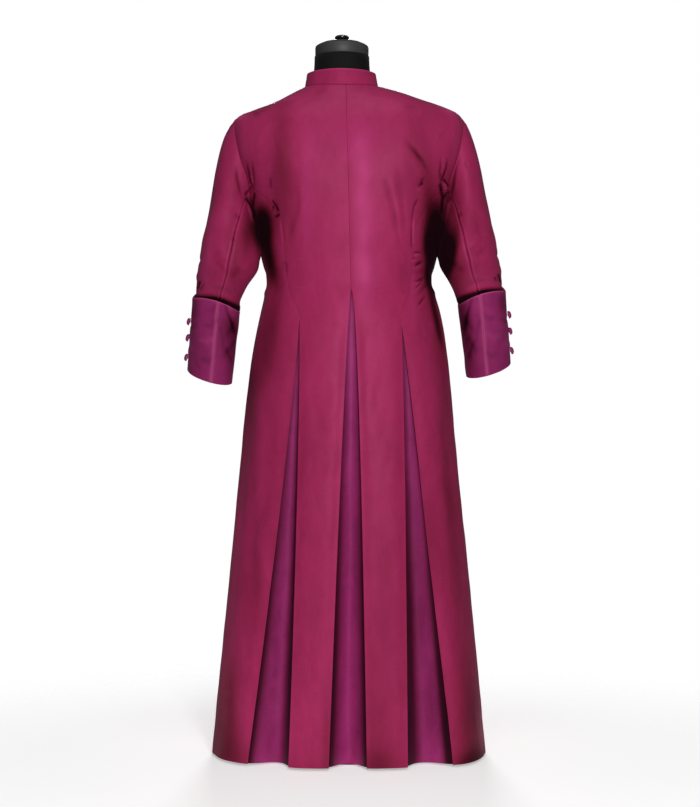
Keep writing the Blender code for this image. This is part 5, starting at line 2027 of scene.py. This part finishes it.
# ---------------- buttons
@dataclass
class CoveredButton:
    """A cloth-covered button on a short shank, domed, with a turned edge."""

    radius: float = 0.0080
    shank: float = 0.0030
    edge: float = 0.0016
    crown: float = 0.0078
    sides: int = 32

    def profile(self) -> Array:
        """The button's outline from the shank's foot to the middle of the crown.

        Returns:
            (radius, height) pairs.
        """
        shank = [(self.shank, 0.0), (self.shank * 0.85, 0.0004), (self.shank, 0.0008)]
        under = [(0.0062, self.edge - 0.0005), (0.0076, self.edge)]
        turns = np.linspace(0.0, 0.5 * math.pi, 9)[:-1]
        rise = self.crown - self.edge - 0.0010
        dome = [(self.radius * math.cos(a) ** 0.8, self.edge + 0.0010 + rise * math.sin(a))
                for a in turns]
        return np.array(shank + under + dome + [(0.0008, self.crown)])

    def build(self, name: str, seat: Array, outward: Array) -> None:
        """Make one button and set it on the cloth.

        Args:
            name: the CAD node's name, which the piece stands for.
            seat: where the shank meets the cloth.
            outward: the way it points.
        """
        turns = circle(self.sides)
        z = unit(outward)
        x = unit(np.cross(np.array([0.0, 0.0, 1.0]) if abs(z[2]) < 0.9
                          else np.array([0.0, 1.0, 0.0]), z))
        y = np.cross(z, x)
        rings = []
        for radius, height in self.profile():
            pucker = 1.0 + 0.012 * np.sin(turns * 11.0) * (height < self.edge + 0.002)
            rings.append(seat + z * (height + SEAM)
                         + (x * np.cos(turns)[:, None] + y * np.sin(turns)[:, None])
                         * (radius * pucker)[:, None])
        piece = ring_stack(f"{name}_cover", rings, BUTTON_SATIN)
        declare(piece, BUTTON_SATIN, name)


@dataclass
class ButtonRows:
    """Three buttons on each cuff's outer edge and fourteen down the left front."""

    shape: WornShape
    arms: dict[Side, Arm]
    drops: tuple[float, ...] = (0.34, 0.56, 0.83)
    cuff_angle: float = 6.0
    front_count: int = 14
    front_low: float = 0.36
    front_high: float = 1.335

    def cuff_seat(self, side: Side, drop: float) -> tuple[Array, Array]:
        """Where a cuff button sits.

        Args:
            side: which cuff.
            drop: how far down the cuff, as a share of it.

        Returns:
            The place, and the way the button points.
        """
        arm = self.arms[side]
        turn = math.radians(self.cuff_angle)
        seat = arm.ring(arm.cuff, 3.0 * drop, turn)
        return seat, seat - arm.ring(arm.cuff, 3.0 * drop, turn, -0.01)

    def front_seat(self, number: int) -> tuple[Array, Array, float]:
        """Where a front button sits.

        Args:
            number: which one, from 0 at the top.

        Returns:
            The place, the way the button points, and its level.
        """
        level = self.front_high + (self.front_low - self.front_high) * number / (
            self.front_count - 1)
        angle = self.shape.angle_at(np.array(level), 0.0, back=False, from_middle=True)
        normal = self.shape.normal(np.array(level), angle)
        lift = float(self.shape.left_lift(np.array(level), angle))
        return self.shape.point(level, angle) + normal * lift, normal, level

    def build(self) -> None:
        """Make and seat every button."""
        button = CoveredButton()
        for side in Side:
            for number, drop in enumerate(self.drops, 1):
                button.build(f"cuff_button_{side.word}_{number}", *self.cuff_seat(side, drop))
        for number in range(self.front_count):
            seat, normal, _ = self.front_seat(number)
            button.build(f"front_button_{number + 1:02d}", seat, normal)


# ---------------- sewing
@dataclass(frozen=True)
class Stitch:
    """One stitch of a row: how far apart they are, how long and how thick."""

    pitch: float
    length: float
    radius: float
    sides: int = 6

    def beads(self, name: str, ends: Array, normals: Array, finish: Finish) -> None:
        """Make a piece of many stitches, each tapering down into the cloth at both ends.

        Args:
            name: the piece's name.
            ends: the two ends of each stitch.
            normals: the way the cloth faces at each stitch.
            finish: the thread.
        """
        way, out = unit(ends[:, 1] - ends[:, 0]), unit(normals)
        beside = np.cross(out, way)
        turns = circle(self.sides)[None, :, None]
        turn = out[:, None, :] * np.sin(turns) + beside[:, None, :] * np.cos(turns)
        rings = []
        for share, girth, rise in ((0.0, 0.25, -0.5), (0.15, 0.85, 0.3), (0.5, 1.0, 0.6),
                                   (0.85, 0.85, 0.3), (1.0, 0.25, -0.5)):
            middle = ends[:, 0] + (ends[:, 1] - ends[:, 0]) * share + out * rise * self.radius
            rings.append(middle[:, None, :] + turn * girth * self.radius)
        points = np.stack(rings, axis=1)
        count, rows, columns = points.shape[:3]
        faces = [[k + n * rows * columns for k in face] for n in range(count)
                 for face in closed_faces(rows, columns)]
        declare(new_object(name, points.reshape(-1, 3), faces, None, finish), finish)

    def row(self, name: str, sheet: ClothSheet, across: Array, up: Array,
            finish: Finish) -> None:
        """Sew a row of stitches along a path on a sheet.

        Args:
            name: the piece's name.
            sheet: the cloth.
            across: places of the path across the flat cloth.
            up: places of the path along it.
            finish: the thread.
        """
        across, up = np.broadcast_arrays(across, up)
        steps = np.hypot(np.diff(across), np.diff(up))
        run = np.concatenate([[0.0], np.cumsum(steps)])
        starts = np.arange(0.5 * self.pitch, run[-1] - self.length, self.pitch)
        spots = np.stack([starts, starts + self.length], axis=-1).ravel()
        places, normals = sheet.at(np.interp(spots, run, across), np.interp(spots, run, up))
        self.beads(name, places.reshape(-1, 2, 3), normals[::2], finish)


@dataclass(frozen=True)
class Sewing:
    """The stitched edges of collar, front and cuffs, the hem's pricks and the buttonholes."""

    sheets: dict[str, ClothSheet]
    buttons: ButtonRows
    machine: Stitch = Stitch(0.0042, 0.0031, 0.00030)
    prick: Stitch = Stitch(0.0110, 0.0014, 0.00028)
    bar: Stitch = Stitch(0.0, 0.016, 0.00060, 8)
    inset: float = 0.0050            # rows run this far inside an edge
    hem: float = 0.025

    def build(self) -> None:
        """Sew every row and every buttonhole."""
        for name, sheet in self.sheets.items():
            ups, width = sheet.along[:, 0], sheet.across[0, -1]
            along = np.linspace(self.inset, width - self.inset, 60)
            if name == "collar":
                self.machine.row("collar_stitches", sheet, along, ups[-1] - self.inset, THREAD)
            elif name.startswith("cuff"):
                self.machine.row(f"{name}_stitches", sheet, along, self.inset, PURPLE_THREAD)
            else:
                self.prick.row(f"{name}_hem_stitches", sheet, along, ups[0] + self.hem, THREAD)
        front = self.sheets["front_left"]
        ups = front.along[:, 0]
        self.machine.row("front_edge_stitches", front, self.inset,
                         np.linspace(ups[0] + self.inset, ups[-1] - self.inset, 60), THREAD)
        self.holes(front)

    def holes(self, front: ClothSheet) -> None:
        """Work a buttonhole behind every front button: two long bars and a short one.

        Args:
            front: the left front.
        """
        ends, normals = [], []
        lap = self.buttons.shape.lap
        for number in range(self.buttons.front_count):
            level = self.buttons.front_seat(number)[2]
            for a, b, low, high in ((-0.003, 0.013, -0.001, -0.001), (-0.003, 0.013, 0.001, 0.001),
                                    (0.0132, 0.0132, -0.0022, 0.0022)):
                places, faces = front.at(np.array([lap + a, lap + b]),
                                         np.array([level + low, level + high]))
                ends.append(places)
                normals.append(faces[0])
        self.bar.beads("buttonholes", np.array(ends), np.array(normals), THREAD)


# ---------------- dress form
@dataclass
class DressForm:
    """The limbless form: jersey torso and neck, cap, knob, pole and round base."""

    shape: WornShape
    clearance: Rows = ((0.76, 0.030), (0.80, 0.020), (0.90, 0.011), (1.00, 0.007),
                       (1.127, 0.005), (1.25, 0.004), (1.3095, 0.0022), (1.3540, 0.0016))
    ease: float = 0.0030
    bottom: float = 0.76
    bottom_round: float = 0.030
    shoulder_cut: float = 0.203
    sides: int = 96
    neck_x: float = 0.0145
    neck_rings: Rows = ((1.380, 0.0590, 0.0565), (1.396, 0.0575, 0.0560),
                        (1.4120, 0.0564, 0.0556), (1.4260, 0.0560, 0.0555))
    cap: Rows = ((0.0540, 1.4266), (0.0546, 1.4275), (0.0548, 1.4435), (0.0535, 1.4470),
                 (0.0490, 1.4500), (0.0400, 1.4540), (0.0220, 1.4580), (0.0215, 1.4581))
    knob: Rows = ((0.0090, 1.4583), (0.0085, 1.4600), (0.0100, 1.4615), (0.0140, 1.4630),
                  (0.0149, 1.4648), (0.0146, 1.4670), (0.0120, 1.4692), (0.0070, 1.4706),
                  (0.0020, 1.4710))
    pole_radius: float = 0.0125
    base: Rows = ((0.115, 0.0), (0.115, 0.003), (0.060, 0.006), (0.022, 0.008),
                  (0.022, 0.020))

    def torso_ring(self, level: float, turns: Array) -> Array:
        """A ring of the torso, just inside the cassock.

        Args:
            level: its height.
            turns: the angles of its points.

        Returns:
            The ring's points.
        """
        gaps = Table(("level", "gap"), self.clearance)
        inward = CLOTH + SEAM + gaps.read("gap", level) + self.ease * np.sin(turns) ** 2
        levels = np.full(turns.shape, level)
        ring = (self.shape.point(levels, turns)
                - self.shape.normal(levels, turns) * inward[:, None])
        ring[:, 0] = np.clip(ring[:, 0], -self.shoulder_cut, self.shoulder_cut)
        return ring

    def build(self) -> None:
        """Make the form's five pieces."""
        turns = circle(self.sides)
        foot = self.torso_ring(self.bottom, turns)
        rings = []
        for share in (0.30, 0.60, 0.75, 0.87, 0.95, 0.99):
            drop = self.bottom_round * (1.0 - math.sqrt(1.0 - share ** 2))
            ring = foot * [share, share, 0.0]
            ring[:, 2] = self.bottom - self.bottom_round + drop
            rings.append(ring)
        levels = np.concatenate([np.arange(self.bottom, 1.12, 0.012),
                                 np.arange(1.12, 1.3545, 0.006)])
        rings += [self.torso_ring(level, turns) for level in levels]
        neck = self.shape.point(self.shape.neck, turns)
        for drop, share in ((0.004, 0.93), (0.002, 0.86)):
            ring = (neck - [self.neck_x, 0.0, 0.0]) * [share, share, 1.0]
            rings.append(ring + [self.neck_x, 0.0, -drop])
        for height, across, deep in self.neck_rings:
            rings.append(np.stack([self.neck_x + across * np.cos(turns), deep * np.sin(turns),
                                   np.full(turns.shape, height)], axis=-1))
        declare(ring_stack("torso_jersey", rings, JERSEY), JERSEY, "form_body")
        axis = (self.neck_x, 0.0)
        declare(turned("neck_cap", np.array(self.cap), CAP_GREY, axis), CAP_GREY, "form_cap")
        declare(turned("cap_knob", np.array(self.knob), LACQUER, axis, 48), LACQUER,
                "form_knob")
        pole = np.array(((self.pole_radius, 0.0203), (self.pole_radius, 0.7296)))
        declare(turned("pole_tube", pole, BLACK_STEEL, sides=40), BLACK_STEEL, "form_pole")
        declare(turned("base_disc", rounded(self.base, 0.002), BLACK_STEEL, sides=96),
                BLACK_STEEL, "form_base")


# ---------------- studio
@dataclass
class Studio:
    """The pale floor, the soft lights and the camera."""

    camera_place: tuple[float, float, float] = (-0.00205, 3.45, 0.716)
    lens: float = 75.07
    ambient: float = 0.10            # light from all round, kept low so that hollows stay dark

    def floor(self) -> None:
        """Lay a round floor that fades out at its rim."""
        turns = circle(96)
        rim = np.stack([np.cos(turns), np.sin(turns), 0.0 * turns], axis=-1) * 1.4
        new_object("floor", rim, [range(96)], None, FloorFinish())

    def light(self, name: str, place: tuple[float, float, float],
              aim: tuple[float, float, float], power: float, size: float,
              tall: Optional[float] = None) -> None:
        """Hang one soft light.

        Args:
            name: what it is.
            place: where it hangs.
            aim: the place that it shines at.
            power: its power in watts.
            size: its width.
            tall: its height, if it isn't square.
        """
        lamp = bpy.data.lights.new(name, "AREA")
        lamp.shape = "RECTANGLE"
        lamp.energy, lamp.size, lamp.size_y = power, size, tall or size
        made = bpy.data.objects.new(name, lamp)
        made.location = place
        way = Vector(aim) - Vector(place)
        made.rotation_euler = way.to_track_quat("-Z", "Y").to_euler()
        bpy.context.scene.collection.objects.link(made)

    def surroundings(self) -> None:
        """White all round, which lights the cassock only a little."""
        world = bpy.data.worlds.new("studio")
        world.use_nodes = True
        tree = world.node_tree
        shown, lit = tree.nodes["Background"], tree.nodes.new("ShaderNodeBackground")
        lit.inputs["Strength"].default_value = self.ambient
        for background in (shown, lit):
            background.inputs["Color"].default_value = (1.0, 1.0, 1.0, 1.0)
        mix = tree.nodes.new("ShaderNodeMixShader")
        straight = tree.nodes.new("ShaderNodeLightPath")
        tree.links.new(straight.outputs["Is Camera Ray"], mix.inputs[0])
        tree.links.new(lit.outputs[0], mix.inputs[1])
        tree.links.new(shown.outputs[0], mix.inputs[2])
        tree.links.new(mix.outputs[0], tree.nodes["World Output"].inputs["Surface"])
        bpy.context.scene.world = world

    def build(self) -> None:
        """Set up floor, lights, world and camera."""
        self.floor()
        self.surroundings()
        self.light("key", (-0.25, 3.5, 1.60), (0.0, 0.0, 0.85), 40.0, 0.8)
        self.light("strip", (-0.42, 3.0, 1.25), (0.0, 0.0, 1.00), 24.0, 0.30, 1.9)
        self.light("top", (0.0, 0.9, 3.3), (0.0, 0.0, 1.2), 11.0, 0.8)
        self.light("front_key", (0.0, -3.6, 1.9), (0.0, 0.0, 0.85), 60.0, 0.9)
        scene = bpy.context.scene
        scene.view_settings.view_transform = "Standard"
        camera = bpy.data.cameras.new("camera")
        camera.lens, camera.sensor_width = self.lens, 36.0
        camera.clip_start, camera.clip_end = 0.05, 60.0
        made = bpy.data.objects.new("camera", camera)
        made.location = self.camera_place
        made.rotation_euler = (math.radians(90.0), 0.0, math.radians(180.0))
        scene.collection.objects.link(made)
        scene.camera = made


def main() -> None:
    """Build and dress every piece."""
    logging.basicConfig(level=logging.INFO, format="%(name)s %(message)s")
    shape = WornShape()
    arms = {side: Arm(side) for side in Side}
    sheets = BodyPanels(shape).build()
    PleatUnderlays(shape).build()
    sheets.update(StandCollar(shape).build())
    for arm in arms.values():
        Sleeve(arm, shape).build()
        sheets.update(Cuff(arm).build())
    buttons = ButtonRows(shape, arms)
    buttons.build()
    Sewing(sheets, buttons).build()
    DressForm(shape).build()
    Studio().build()


if __name__ == "__main__":
    main()
